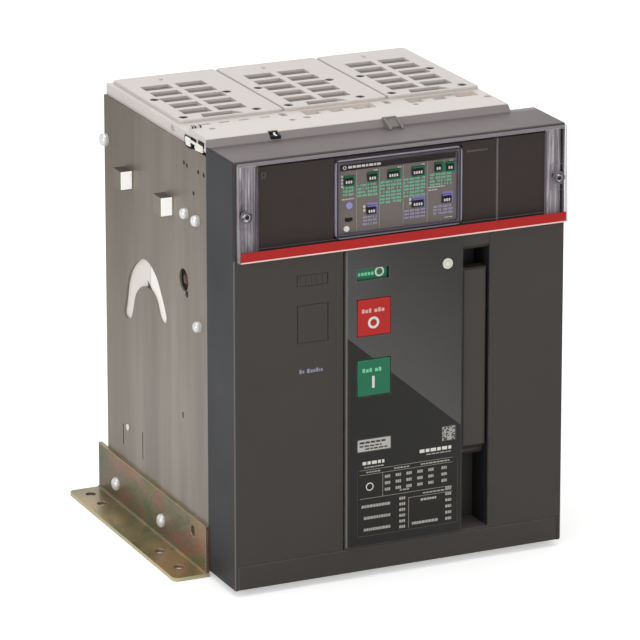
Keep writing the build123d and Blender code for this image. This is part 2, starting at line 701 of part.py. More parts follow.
# label seats (x0, x1, z0, z1)
LABEL_SEATS = ((-32.2, 53.9, 35.4, 89.4), (-32.9, -3.8, 104.6, 115.1), (40.1, 52.3, 103.8, 116.0))
LABEL_GAP = 0.3
PLUG = (44.2, 248.6)                 # (x, z)
OPENING_HALF_X, OPENING_HALF_Z = 14.55, 15.15    # button openings


def button_opening(z, y0, y1):
    return mid_box(BUTTON_X, OPENING_HALF_X, y0, y1, z - OPENING_HALF_Z, z + OPENING_HALF_Z)


@part
def central_escutcheon():
    plate = box(-41.4, 57.2, ESCUTCHEON_FRONT, -158.0, 27.4, 269.9)
    plate = fillet(front_edges(plate, ESCUTCHEON_FRONT), 1.2)
    plate -= box(-39, 54.8, -163.4, -157, 30, 263)             # hollow back
    for z in (OFF_Z, ON_Z):
        plate -= button_opening(z, -167, -160)
    plate -= box(-33.4, -5.7, -167, -160, 243.6, 252.9)        # position flag window
    for x0, x1, z0, z1 in LABEL_SEATS:
        plate -= box(x0, x1, -166.6, -165.6, z0, z1)
    plate -= cyl_y(*PLUG, 3.65, -168, -160)
    for z in (OFF_Z, ON_Z):                                    # button guides
        guide = mid_box(BUTTON_X, 18.25, -163.5, -158.5, z - 18, z + 18)
        plate += guide - button_opening(z, -164, -158)
    return plate


@part
def round_plug():
    plug = cyl_y(*PLUG, 3.6, -166.9, -159.5) + cyl_y(*PLUG, 4.2, -167.4, ESCUTCHEON_FRONT)
    return fillet(front_edges(plug, -167.4), 0.6)


@part
def rating_labels():
    return [box(x0 + LABEL_GAP, x1 - LABEL_GAP, ESCUTCHEON_FRONT, -165.7,
                z0 + LABEL_GAP, z1 - LABEL_GAP) for x0, x1, z0, z1 in LABEL_SEATS]


def push_button(z):
    button = round_box(BUTTON_X - 14, BUTTON_X + 14, -166.8, -159.0, z - 14.65, z + 14.65, 1.0)
    button = fillet(front_edges(button, -166.8), 0.8)
    return button + cyl_y(BUTTON_X, z, 3.0, -159.0, -135.4)    # stem


parts["off_button"] = push_button(OFF_Z)
parts["on_button"] = push_button(ON_Z)


@part
def position_flag():
    flag = box(-32.8, -6.2, -163.2, -161.8, 242.4, 262.8)
    return flag + box(-25, -14, -161.8, -158.5, 250, 259)


# ---------------------------------------------------------------- trip unit
FACE_Y = -160.8                      # front of the faceplate
RESET, RESET_R = (-37.8, 303.8), 2.75            # (x, z)
TEST, TEST_R = (-40.0, 285.4), 2.4
# switch blocks (middle x, middle z, number of sliders)
SWITCHES = ((-38.2, 323.7, 3), (-18.2, 324.6, 3), (-0.3, 324.8, 4), (20.5, 324.7, 4),
            (38.0, 325.8, 2), (48.2, 325.4, 2), (-18.9, 298.4, 3), (20.6, 299.2, 4),
            (45.4, 299.8, 3))
SWITCH_PITCH = 2.0


@part
def upper_panel():
    panel = box(-115.4, 131.6, -161.4, -159.3, 272.8, 343.0)
    panel -= box(-50.4, 58.4, -162, -158, 277.6, 341.4)
    panel += box(88.4, 89.5, -161.8, -161.4, 273.2, 342.4)     # upright line
    panel += box(-113.0, -106.0, -161.7, -161.4, 333.0, 340.0)  # square in the top left
    return panel


@part
def trip_unit_housing():
    housing = box(-48.0, 56.0, -160.4, -122, 280.0, 339.2) - box(-46, 54, -162, -124, 282, 337.2)
    rim = (round_box(-50.0, 58.0, -162.9, -159.3, 278.0, 341.0, 5)
           - round_box(-46.8, 54.8, -165, -158, 281.0, 338.0, 3))
    return housing + rim


@part
def trip_unit_faceplate():
    plate = box(-45.9, 53.9, FACE_Y, -158.8, 282.1, 337.1)
    for x in (-31.5, -12.1, 8.2, 28.7):                        # lines between the columns
        plate += mid_box(x, 0.35, -161.2, FACE_Y, 283.0, 331.0)
    plate += box(-45.0, 53.0, -161.3, FACE_Y, 331.5, 336.5)
    for place, radius in ((RESET, RESET_R), (TEST, TEST_R)):
        plate -= cyl_y(*place, radius + 0.1, -162, -158)
    plate -= box(-40.8, -34.8, -162, -160.2, 291.7, 293.7)
    return plate


def slot_centres(x, count):
    return [x + SWITCH_PITCH * (k - (count - 1) / 2) for k in range(count)]


def switch_block(x, z, count):
    block = mid_box(x, SWITCH_PITCH * (count + 1) / 2, -162.0, -160.9, z - 3.4, z + 3.4)
    for slot_x in slot_centres(x, count):
        block -= mid_box(slot_x, 0.7, -162.5, -161.2, z - 2.4, z + 2.4)
    return block


@part
def dip_switch_blocks():
    return [switch_block(*switch) for switch in SWITCHES]


@part
def setting_sliders():
    return [mid_box(slot_x, 0.55, -162.4, -161.25, z - 2.1, z - 0.1)
            for x, z, count in SWITCHES for slot_x in slot_centres(x, count)]


for name, place, button_r in (("reset_button", RESET, RESET_R), ("test_button", TEST, TEST_R)):
    pin = cyl_y(*place, button_r, -162.2, -157.0)
    parts[name] = fillet(front_edges(pin, -162.2), 0.6)

# ---------------------------------------------------------------- transparent cover
CLEAR_X0, CLEAR_X1 = -132.2, 145.4
# sections (y, z): the face leans out slightly towards its lower edge
CLEAR_OUTER = ((-163.1, 347.7), (-164.6, 347.7), (-166.0, 346.2), (-168.53, 270.4),
               (-163.1, 270.4))
CLEAR_INNER = ((-160, 345.4), (-163.6, 345.4), (-164.2, 345.0), (-166.43, 272.6), (-160, 272.6))
BAND_SEAT = ((-169.5, 280.4), (-167.5, 280.4), (-167.82, 271.2), (-169.5, 271.2))
BAND = ((-168.31, 278.5), (-167.59, 278.5), (-167.85, 271.3), (-168.56, 271.3))


@part
def transparent_cover():
    cover = prism_x(CLEAR_OUTER, CLEAR_X0, CLEAR_X1 + 2.0)
    cover -= prism_x(CLEAR_INNER, CLEAR_X0 + 1.8, CLEAR_X1 + 0.2)
    for x in COVER_SCREWS.values():
        cover += mid_box(x, 5.5, -166.0, -163.3, 296, 317)
        cover -= cyl_y(x, COVER_SCREW_Z, COVER_SCREW_R + 0.1, -170, -160)
        cover -= cyl_y(x, COVER_SCREW_Z, 4.0, -170, -166.1)
    for x0 in (-116.5, 129.5):                                 # upright ribs
        cover += box(x0, x0 + 1.2, -165.0, -163.1, 272.5, 345)
    return cover - prism_x(BAND_SEAT, CLEAR_X0 + 0.7, CLEAR_X1 + 0.8)


@part
def red_trim_band():
    return prism_x(BAND, CLEAR_X0 + 0.8, CLEAR_X1 + 0.7)


def cover_screw(x):
    screw = cyl_y(x, COVER_SCREW_Z, COVER_SCREW_R, -166.2, -157.4)
    screw += cyl_y(x, COVER_SCREW_Z, 3.7, -168.2, -166.2)
    screw = chamfer(front_edges(screw, -168.2), 0.5)
    return screw - mid_box(x, 4, -168.6, -167.2, COVER_SCREW_Z - 0.6, COVER_SCREW_Z + 0.6)


for side, screw_x in COVER_SCREWS.items():
    parts["cover_screw_" + side] = cover_screw(screw_x)

# ---------------------------------------------------------------- charging handle
# (y, z)
GRIP = ((-149, 100), (-149.5, 90), (-155.5, 90.4), (-161.2, 95.6), (-161.2, 238.9),
        (-159.5, 240.5), (-150.6, 240.5), (-149, 238.4))
HUB_WEB = ((-147, 100.2), (-153, 106), (-158, 100), (-154.5, 92))


@part
def charging_handle():
    x0, x1 = RECESS_X0 + 1.0, RECESS_X1 - 1.0
    handle = prism_x(GRIP, x0, x1)
    handle = fillet([e for e in handle.edges().filter_by(Axis.Z)
                     if e.length > 100 and e.center().Y < -160], 2.2)
    handle -= box(x0 + 3.5, x1 - 3.5, -157, -140, 112, 232)    # hollow back
    handle += cyl_x(*HANDLE, 8.2, x0, x1) + prism_x(HUB_WEB, x0, x1)
    return handle - cyl_x(*HANDLE, HANDLE_R, 40, 90)


# ---------------------------------------------------------------- write the parts
os.makedirs("parts", exist_ok=True)
for name, shape in parts.items():
    pieces = shape if isinstance(shape, list) else [shape]
    solids = [Pos(0, -ORIGIN_Y, 0) * solid for piece in pieces for solid in piece.solids()]
    node = Compound(children=solids)
    node.label = name
    export_step(node, "parts/" + name + ".step")
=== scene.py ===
# A three-pole air circuit breaker standing on the floor at z = 0. Its width lies along X,
# centred on x = 0; the control front faces -Y, the terminals +Y, and the vents +Z.
# Left is -X. Lengths are metres, except where a table or function says mm.
import bpy
import bmesh
import math
import random
from contextlib import contextmanager
from mathutils import Vector, Matrix

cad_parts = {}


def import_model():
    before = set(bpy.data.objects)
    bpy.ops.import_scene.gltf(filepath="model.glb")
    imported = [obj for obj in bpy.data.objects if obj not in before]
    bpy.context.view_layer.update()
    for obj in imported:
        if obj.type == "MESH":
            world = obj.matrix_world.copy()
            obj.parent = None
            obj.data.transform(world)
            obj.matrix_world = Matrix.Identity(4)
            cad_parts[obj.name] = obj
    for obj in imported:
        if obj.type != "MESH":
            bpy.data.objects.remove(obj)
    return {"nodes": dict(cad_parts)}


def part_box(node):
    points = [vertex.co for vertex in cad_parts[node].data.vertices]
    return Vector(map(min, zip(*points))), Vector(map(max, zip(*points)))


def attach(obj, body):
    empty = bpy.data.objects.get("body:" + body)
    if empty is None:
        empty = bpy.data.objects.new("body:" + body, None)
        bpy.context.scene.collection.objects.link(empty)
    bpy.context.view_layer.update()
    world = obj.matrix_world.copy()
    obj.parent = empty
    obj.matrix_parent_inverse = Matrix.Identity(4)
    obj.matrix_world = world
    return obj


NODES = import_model()["nodes"]
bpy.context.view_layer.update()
SCENE = bpy.context.scene
random.seed(7)

MM = 0.001
RISE = 0.00012          # how far a printed mark stands in front of its face
SINK = 0.0001           # how far it reaches into the face
BUTTON_SINK = 0.0002    # the same, for marks on the buttons and the flag
MATERIALS = {}          # every built material by its name


def front_centre(name):
    """Centre x, front y and centre z of a CAD piece."""
    low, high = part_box(name)
    return (low.x + high.x) / 2, low.y, (low.z + high.z) / 2


# ---------------------------------------------------------------- material builder
def linear(colour):
    """Linear RGBA from "#rrggbb"; any other value passes through."""
    if not isinstance(colour, str):
        return colour
    channels = []
    for start in (1, 3, 5):
        value = int(colour[start:start + 2], 16) / 255
        channels.append(value / 12.92 if value <= 0.04045 else ((value + 0.055) / 1.055) ** 2.4)
    return (*channels, 1.0)


class Material:
    """A node material with a Principled shader, in object coordinates."""

    def __init__(self, name):
        data = bpy.data.materials.new(name)
        data.use_nodes = True
        self.data = MATERIALS[name] = data
        self.tree = data.node_tree
        self.tree.nodes.clear()
        self.shader = self.node("ShaderNodeBsdfPrincipled")
        self.output = self.node("ShaderNodeOutputMaterial", {"Surface": self.shader.outputs[0]})
        self.coords = self.node("ShaderNodeTexCoord").outputs["Object"]

    def put(self, socket, value):
        """Link an output to a socket, or set the socket's value."""
        if isinstance(value, bpy.types.NodeSocket):
            self.tree.links.new(value, socket)
        else:
            socket.default_value = linear(value)

    def node(self, kind, inputs=None, **settings):
        made = self.tree.nodes.new(kind)
        for key, value in settings.items():
            setattr(made, key, value)
        for key, value in (inputs or {}).items():
            self.put(made.inputs[key], value)
        return made

    def set(self, **inputs):
        for key, value in inputs.items():
            self.put(self.shader.inputs[key.replace("_", " ")], value)

    def noise(self, scale, detail, rough, stretch=None, offset=(0, 0, 0), distortion=0.0):
        vector = self.coords
        if stretch:
            vector = self.node("ShaderNodeMapping", {
                "Vector": vector, "Scale": stretch, "Location": offset}).outputs[0]
        return self.node("ShaderNodeTexNoise", {
            "Vector": vector, "Scale": scale, "Detail": detail, "Roughness": rough,
            "Distortion": distortion}).outputs["Fac"]

    def ramp(self, value, *stops):
        """Colours by position; each stop is (position, colour)."""
        made = self.node("ShaderNodeValToRGB", {0: value})
        elements = made.color_ramp.elements
        while len(elements) < len(stops):
            elements.new(0.5)
        for element, (position, colour) in zip(elements, stops):
            element.position = position
            element.color = linear(colour)
        return made.outputs["Color"]

    def mix(self, amount, under, over):
        return self.node("ShaderNodeMix", {0: amount, 6: under, 7: over},
                         data_type="RGBA").outputs[2]

    def math(self, operation, first, second=0.0):
        return self.node("ShaderNodeMath", {0: first, 1: second}, operation=operation).outputs[0]

    def times(self, first, *others):
        for other in others:
            first = self.math("MULTIPLY", first, other)
        return first

    def above(self, value, limit):
        return self.math("GREATER_THAN", value, limit)

    def below(self, value, limit):
        return self.math("LESS_THAN", value, limit)

    def within(self, value, low, high):
        return self.times(self.above(value, low), self.below(value, high))

    def remap(self, value, over, to=(0.0, 1.0)):
        """Carry the range `over` onto the range `to`, clamped."""
        return self.node("ShaderNodeMapRange", {
            0: value, 1: over[0], 2: over[1], 3: to[0], 4: to[1]}).outputs[0]

    def bevel(self, radius):
        return self.node("ShaderNodeBevel", {"Radius": radius}, samples=4).outputs[0]

    def bump(self, height, strength, distance, radius=0.0004):
        """Relief; `radius` also softens the edges in shading."""
        inputs = {"Strength": strength, "Distance": distance, "Height": height}
        if radius:
            inputs["Normal"] = self.bevel(radius)
        self.set(Normal=self.node("ShaderNodeBump", inputs).outputs[0])

    def edge(self, radius):
        """0 on flat parts, towards 1 on edges."""
        normal = self.node("ShaderNodeNewGeometry").outputs["Normal"]
        likeness = self.node("ShaderNodeVectorMath", {0: self.bevel(radius), 1: normal},
                             operation="DOT_PRODUCT")
        return self.remap(likeness.outputs["Value"], over=(1.0, 0.82))

    def split(self, vector):
        return self.node("ShaderNodeSeparateXYZ", {0: vector}).outputs

    def facing(self):
        """X, Y and Z of the true normal."""
        return self.split(self.node("ShaderNodeNewGeometry").outputs["True Normal"])

    def position(self):
        """Object X, Y and Z."""
        return self.split(self.coords)

    def distance(self, centre_x, centre_z):
        """Distance from a centre, seen from the front."""
        x, y, z = self.position()
        across = self.math("SUBTRACT", x, centre_x)
        upward = self.math("SUBTRACT", z, centre_z)
        total = self.math("ADD", self.times(across, across), self.times(upward, upward))
        return self.math("SQRT", total)


# ---------------------------------------------------------------- plastics
def plastic(name, colour, rough, grain, relief, edge_wear_and_sheen, worn_or_sheen_colour=None, specular=0.5,
            variation=0.12, detail=None):
    """A moulding or film; `detail(mat, colour)` paints its local features."""
    mat = Material(name)
    base = linear(colour)[:3]

    def shade(factor, lift=0.0):
        return (*(min(1, channel * factor + lift) for channel in base), 1)

    patches = mat.noise(scale=14, detail=3, rough=0.6)
    paint = mat.ramp(patches, (0.3, shade(1 - variation)), (0.7, shade(1 + variation)))
    if detail:
        paint = detail(mat, paint)
    # edges mix towards a paler colour: partly rubbed wear, partly a painted highlight along the
    # edges
    if edge_wear_and_sheen:
        broken = mat.remap(mat.noise(scale=90, detail=4, rough=0.7), over=(0.35, 0.7),
                           to=(0.2, 1.0))
        rubbed_or_sheen_edges = mat.times(mat.edge(radius=0.0007), broken, edge_wear_and_sheen)
        paint = mat.mix(rubbed_or_sheen_edges, paint, worn_or_sheen_colour or shade(2.2, lift=0.02))
    mat.set(Base_Color=paint, IOR=1.47, Specular_IOR_Level=specular, Coat_Roughness=0.12)
    if grain:
        fine = mat.noise(scale=grain, detail=2, rough=0.6)
        gloss = mat.math("ADD", mat.times(patches, 0.6), mat.times(fine, 0.4))
        mat.set(Roughness=mat.remap(gloss, over=(0.3, 0.7), to=(rough - 0.06, rough + 0.07)))
        mat.bump(fine, strength=relief, distance=0.00012)
    else:
        # a smooth surface: slow changes of gloss and a very shallow swell
        mat.set(Roughness=mat.remap(patches, over=(0.3, 0.7), to=(rough - 0.05, rough + 0.06)))
        swell = mat.noise(scale=55, detail=3, rough=0.5)
        mat.bump(swell, strength=relief, distance=0.0003)


def window_wall(mat, paint):
    """The case wall behind the side windows: a paler land at the front, painted shade on a step,
    and a painted glow over the wall where the side plate shades it.
    """
    x, y, z = mat.position()
    wall = mat.times(mat.above(mat.math("ABSOLUTE", x), 0.1318), mat.within(z, 0.155, 0.226))
    wall = mat.times(wall, mat.within(y, -0.040, 0.062))
    land = mat.times(wall, mat.remap(y, over=(0.0042, 0.0038)))
    step = mat.times(wall, mat.times(mat.remap(y, over=(0.0052, 0.0046)),
                                     mat.remap(y, over=(0.0034, 0.0040))))
    paint = mat.mix(land, paint, "#efe9e3")
    # painted shade on the step
    paint = mat.mix(mat.times(step, 0.55), paint, "#8f8a82")
    # dark green foot of the step, below a line that rises towards the rear
    line = mat.math("ADD", 0.2009, mat.times(y, 0.6))
    under_line = mat.below(mat.math("SUBTRACT", z, line), 0.0)
    foot = mat.times(wall, mat.times(under_line, mat.within(y, -0.0095, 0.0105)))
    paint = mat.mix(mat.times(foot, 0.92), paint, "#1c2a22")
    # painted glow: emission brightens the wall where it lies in the side plate's shade
    mat.set(Emission_Color=paint, Emission_Strength=mat.times(wall, 0.19))
    return paint


def cover_faces(mat, paint):
    """Painted light by facing: paler top faces, painted shade on left faces, and painted
    highlights on the lower left corner and the rear lip.
    """
    across, along, upward = mat.facing()
    # painted light: top faces paler, left faces darker in shade
    paint = mat.mix(mat.remap(upward, over=(0.35, 0.9)), paint, "#645a5a")
    paint = mat.mix(mat.remap(across, over=(-0.4, -0.95)), paint, "#292a2e")
    across, along, upward = mat.facing()
    # painted highlight down the rounded front left corner, below the band
    corner = mat.times(mat.math("MINIMUM", across, 0.0), mat.math("MINIMUM", along, 0.0))
    low = mat.below(mat.position()[2], 0.2715)
    corner = mat.times(low, mat.remap(corner, over=(0.22, 0.46), to=(0.0, 0.85)))
    paint = mat.mix(corner, paint, "#6d6966")
    # painted highlight on the sloped rear lip
    x, y, z = mat.position()
    lip = mat.times(mat.above(z, 0.34935), mat.above(y, -0.1225))
    return mat.mix(lip, paint, "#878080")


def panel_divider(mat, paint):
    """A painted highlight: a pale line standing for one upright rib on the upper panel."""
    rib_x, half_width = 0.08895, 0.0009
    offset = mat.math("ABSOLUTE", mat.math("SUBTRACT", mat.position()[0], rib_x))
    return mat.mix(mat.below(offset, half_width), paint, "#7a7571")


def column_lines(mat, paint):
    """The raised lines of the faceplate, below its header."""
    x, y, z = mat.position()
    return mat.mix(mat.times(mat.below(y, -0.16612), mat.below(z, 0.3311)), paint, "#a5a19b")


def rim_lines(mat, paint):
    """Painted highlights round the trip unit: a pale outer edge and a thin inner line, with a
    dark trough between.
    """
    low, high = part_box("trip_unit_housing")
    x, y, z = mat.position()

    def inset(value, start, end):
        return mat.math("MINIMUM", mat.math("SUBTRACT", value, start),
                        mat.math("SUBTRACT", end, value))

    depth = mat.math("MINIMUM", inset(x, low.x, high.x), inset(z, low.z, high.z))
    # painted highlights along the outer edge and the inner line
    paint = mat.mix(mat.remap(depth, over=(0.0013, 0.0010)), paint, "#a39ea8")
    inner = mat.times(mat.remap(depth, over=(0.0024, 0.0027)), 0.75)
    return mat.mix(inner, paint, "#77727c")


def plug_ring(mat, paint):
    """Painted shade in a ring for a shallow turned groove, and a slightly greyer middle."""
    centre_x, front, centre_z = front_centre("round_plug")
    radius = mat.distance(centre_x, centre_z)
    groove = mat.times(mat.remap(radius, over=(0.0023, 0.0026)),
                       mat.remap(radius, over=(0.0033, 0.0030)))
    middle = mat.remap(radius, over=(0.0026, 0.0022), to=(0.0, 0.25))
    paint = mat.mix(middle, paint, "#b9b4a8")
    # painted shade of the groove
    return mat.mix(mat.times(groove, 0.55), paint, "#9d988d")


# name, colour, roughness, grain scale (None is smooth), relief strength, edge wear and painted
# edge highlight, worn or highlight colour of the edges (None is a lighter base), specular level,
# colour variation, detail function
PLASTICS = (
    ("vent_grey", "#858079", 0.6, 1800, 0.1, 0.0, None, 0.3, 0.05),
    ("catch_grey", "#7d7874", 0.45, 1800, 0.1, 0.9, "#c9c5c0"),
    ("vent_shade", "#77726c", 0.6, 1800, 0.1, 0.0, None, 0.3, 0.05),
    ("light_moulding", "#d9d2cc", 0.44, 1500, 0.10, 0.12, "#f4f0ec", 0.45, 0.035, window_wall),
    ("lid_moulding", "#cdc5c0", 0.38, 1500, 0.10, 0.18, "#f6f2ee", 0.5, 0.03),
    ("black_moulding", "#151413", 0.45, 1800, 0.12, 0.2),
    ("charcoal_moulding", "#3b3734", 0.47, 2400, 0.16, 0.55, "#7b7774", 0.42, 0.05, cover_faces),
    ("handle_moulding", "#3e3936", 0.44, 2400, 0.15, 0.34, "#77716c", 0.45, 0.06),
    ("dark_panel", "#423a37", 0.5, None, 0.015, 0.1, None, 0.2, 0.05, panel_divider),
    ("trip_face", "#7d766e", 0.45, None, 0.02, 0.1, None, 0.3, 0.05, column_lines),
    ("trip_rim", "#353236", 0.3, None, 0.02, 0.25, "#b3adb8", 0.4, 0.05, rim_lines),
    ("rating_plate_film", "#1f1d1b", 0.4, None, 0.02, 0.0, None, 0.35, 0.06),
    ("plug_white", "#ebe8dc", 0.4, 1500, 0.06, 0.1, None, 0.4, 0.05, plug_ring),
    ("red_button", "#b51a14", 0.34, 1700, 0.07, 0.6, "#e8736a", 0.4, 0.05),
    ("green_button", "#186f4e", 0.36, 1700, 0.07, 0.6, "#5fb094", 0.4, 0.05),
    ("red_band", "#ad120e", 0.36, None, 0.02, 0.2, "#d8655c", 0.35, 0.04),
    ("white_plastic", "#f7f5ee", 0.36, 1500, 0.06, 0.1, None, 0.5, 0.03),
    ("white_print", "#dedbd4", 0.5, 3000, 0.03, 0.0, None, 0.3, 0.04),
    ("soft_print", "#f0cfc8", 0.5, 3000, 0.03, 0.0, None, 0.3, 0.03),
    ("green_print", "#257f57", 0.45, 3000, 0.03, 0.0, None, 0.3, 0.08),
    ("green_legend", "#7bd1a6", 0.45, 3000, 0.03, 0.0, None, 0.3, 0.05),
    ("lilac_print", "#8f8bc4", 0.45, 3000, 0.03, 0.0, None, 0.3, 0.08),
    ("blue_button", "#a09fdb", 0.3, 1500, 0.05, 0.3, "#d8d7f4", 0.5, 0.05),
    ("silver_label", "#b9b5b1", 0.3, 2000, 0.05, 0.1, None, 0.6, 0.06),
    ("grey_print", "#aaa69f", 0.5, 3000, 0.03, 0.0, None, 0.3, 0.12),
    ("lilac_legend", "#acabc6", 0.45, 3000, 0.03, 0.0, None, 0.3, 0.06),
    ("pink_legend", "#e3a9a2", 0.5, 3000, 0.03, 0.0, None, 0.3, 0.03),
    ("pale_lilac_print", "#8d8c9c", 0.5, 3000, 0.03, 0.0, None, 0.3, 0.06),
    ("dim_caption", "#6d6964", 0.5, 3000, 0.03, 0.0, None, 0.3, 0.06),
    ("header_film", "#1f1c1a", 0.35, None, 0.02, 0.0, None, 0.4, 0.05),
    ("label_film", "#2b2826", 0.36, 1200, 0.04, 0.0, None, 0.45, 0.04),
    ("cast_resin", "#2c3440", 0.4, 900, 0.2, 0.2),
    ("thermoset", "#5a3226", 0.4, 900, 0.2, 0.2),
    ("deep_shadow", "#0e0d0c", 0.7, 900, 0.1, 0.0),
    ("yellow_slider", "#d9b23a", 0.4, 2000, 0.05, 0.1),
    # the material of the rings round the captive screws: a painted glint
    ("pale_collar", "#6f6b72", 0.25, 1500, 0.05, 0.35, "#c9c5cd", 0.5, 0.1),
)


# ---------------------------------------------------------------- metals
def sheet_stains(mat, paint):
    """Faint warm and green drifts along the height of the sheet."""
    warm = mat.noise(scale=16, detail=3, rough=0.5, stretch=(1, 1, 0.3), offset=(5, 2, 7))
    paint = mat.mix(mat.remap(warm, over=(0.52, 0.68), to=(0.0, 0.22)), paint, "#8d7469")
    green = mat.noise(scale=19, detail=3, rough=0.5, stretch=(1, 1, 0.28), offset=(1, 9, 3))
    return mat.mix(mat.remap(green, over=(0.56, 0.7), to=(0.0, 0.16)), paint, "#84886a")


def sheet_faces(mat, paint, metallic):
    """Darker to the rear and top; on the outer steps, painted light with a painted glow on front
    faces, and painted shade on top faces.
    """
    x, y, z = mat.position()
    across, along, upward = mat.facing()
    proud = mat.above(mat.math("ABSOLUTE", x), 0.1352)
    # painted light and shade on the outer steps, by facing
    lit = mat.times(proud, mat.remap(along, over=(-0.6, -0.9)))
    dim = mat.times(proud, mat.remap(upward, over=(0.6, 0.9)))
    rearward = mat.remap(y, over=(-0.03, 0.09), to=(0.0, 0.34))
    high = mat.remap(z, over=(0.12, 0.33), to=(0.0, 0.42))
    paint = mat.mix(mat.math("ADD", rearward, high), paint, "#6c6253")
    paint = mat.mix(lit, paint, (0.95, 0.945, 0.93, 1))
    paint = mat.mix(mat.times(dim, 0.8), paint, "#3d3431")
    # painted glow on the lit front faces
    mat.set(Emission_Color=(1, 0.99, 0.97, 1), Emission_Strength=mat.times(lit, 0.35))
    plain = mat.math("SUBTRACT", 1.0, mat.math("MAXIMUM", lit, dim))
    return paint, mat.times(plain, metallic)


def steel(name, dark, light, rough, metallic, streak, relief, sheet=False, rear=None):
    """Grained metal; `sheet` adds the side plate's features, `rear` a rear colour."""
    mat = Material(name)
    grain = mat.noise(scale=1.0, detail=5, rough=0.65, stretch=streak)
    band = mat.noise(scale=1.0, detail=3, rough=0.5, stretch=(34, 34, 3.0), offset=(3, 1, 2))
    cloud = mat.noise(scale=9, detail=5, rough=0.6, stretch=(1, 1, 0.35))
    paint = mat.ramp(band, (0.3, dark), (0.72, light))
    paint = mat.mix(mat.times(grain, 0.22), paint, dark)
    if sheet:
        paint = sheet_stains(mat, paint)
    paint = mat.mix(mat.remap(cloud, over=(0.35, 0.7), to=(0.0, 0.16)), paint, "#cfcac3")
    # painted highlight along the edges
    paint = mat.mix(mat.times(mat.edge(radius=0.0006), 0.3), paint, "#e8e4dd")
    if sheet:
        paint, metallic = sheet_faces(mat, paint, metallic)
    if rear:
        behind = mat.above(mat.position()[1], 0.110)
        covered = mat.times(behind, mat.remap(grain, over=(0.3, 0.7), to=(0.75, 1.0)))
        paint = mat.mix(covered, paint, rear)
    gloss = mat.math("ADD", mat.times(grain, 0.5), mat.times(cloud, 0.5))
    mat.set(Base_Color=paint, Metallic=metallic,
            Roughness=mat.remap(gloss, over=(0.3, 0.7), to=(rough - 0.08, rough + 0.12)))
    mat.bump(grain, strength=relief, distance=0.00008)


# name, dark and light colours, roughness, metallic, grain scale along X Y Z, relief strength
STEELS = (
    ("bright_zinc", "#e9e9e6", "#ffffff", 0.18, 0.36, (900, 900, 900), 0.05),
    ("cold_rolled", "#63625f", "#8a8986", 0.42, 0.85, (300, 300, 300), 0.2),
    ("oiled_spring", "#2c2b2c", "#5a5856", 0.3, 0.9, (600, 600, 600), 0.1),
    ("bronzed_plug", "#3a2019", "#74402f", 0.3, 0.8, (400, 400, 400), 0.1),
)


def yellow_passivation():
    """Yellow chromate on zinc: drifting gold, olive, green and rose; upward faces painted
    lighter, painted highlights at the edges.
    """
    mat = Material("yellow_passivation")
    flow = mat.noise(scale=13, detail=3, rough=0.55, stretch=(1, 0.6, 1), offset=(2, 3, 1),
                     distortion=1.2)
    patch = mat.noise(scale=19, detail=3, rough=0.5, stretch=(1, 0.7, 1), offset=(7, 1, 4),
                      distortion=0.8)
    upright = mat.ramp(flow, (0.28, "#5f5341"), (0.40, "#87754f"), (0.49, "#94665a"),
                       (0.57, "#7f7751"), (0.66, "#5c705c"), (0.80, "#a8936a"))
    level = mat.ramp(flow, (0.28, "#7c7050"), (0.42, "#a39163"), (0.52, "#b69a6c"),
                     (0.60, "#8f8458"), (0.70, "#b89c68"), (0.82, "#cb9678"))
    upward = mat.facing()[2]
    # painted light: upward faces take a lighter ramp than upright ones
    paint = mat.mix(mat.remap(upward, over=(0.5, 0.9)), upright, level)
    paint = mat.mix(mat.remap(patch, over=(0.50, 0.72), to=(0.0, 0.42)), paint, "#b8776a")
    paint = mat.mix(mat.remap(patch, over=(0.50, 0.30), to=(0.0, 0.60)), paint, "#566a55")
    fine = mat.noise(scale=420, detail=4, rough=0.6)
    paint = mat.mix(mat.remap(fine, over=(0.45, 0.75), to=(0.0, 0.2)), paint, "#d6d0b2")
    # darker to the rear, rosier on the raised front
    x, y, z = mat.position()
    paint = mat.mix(mat.remap(y, over=(0.02, 0.125), to=(0.0, 0.42)), paint, "#574641")
    front = mat.times(mat.remap(y, over=(-0.085, -0.108), to=(0.0, 0.4)),
                      mat.remap(z, over=(0.012, 0.03)))
    paint = mat.mix(front, paint, "#b98f76")
    # painted highlight on the lower edges round the foot
    outer = mat.math("MAXIMUM", mat.above(mat.math("ABSOLUTE", mat.position()[0]), 0.158),
                     mat.below(y, -0.104))
    lit_foot_edges = mat.times(outer, mat.below(z, 0.0029),
                        mat.remap(upward, over=(0.6, 0.3), to=(0.0, 0.75)))
    paint = mat.mix(lit_foot_edges, paint, "#ded4a8")
    # painted highlight along all edges
    paint = mat.mix(mat.times(mat.edge(radius=0.0009), 0.7), paint, "#f2edd2")
    mat.set(Base_Color=paint, Metallic=0.5,
            Roughness=mat.remap(flow, over=(0.3, 0.7), to=(0.26, 0.42)))
    mat.bump(fine, strength=0.1, distance=0.0001)


def copper_bar():
    mat = Material("copper_bar")
    flow = mat.noise(scale=30, detail=5, rough=0.6)
    fine = mat.noise(scale=1.0, detail=4, rough=0.6, stretch=(900, 60, 900))
    paint = mat.ramp(flow, (0.3, "#8a4f38"), (0.55, "#b8734f"), (0.75, "#c98a66"))
    paint = mat.mix(mat.remap(fine, over=(0.5, 0.7), to=(0.0, 0.25)), paint, "#e0a886")
    mat.set(Base_Color=paint, Metallic=0.95,
            Roughness=mat.remap(fine, over=(0.3, 0.7), to=(0.24, 0.40)))
    mat.bump(fine, strength=0.1, distance=0.00008)


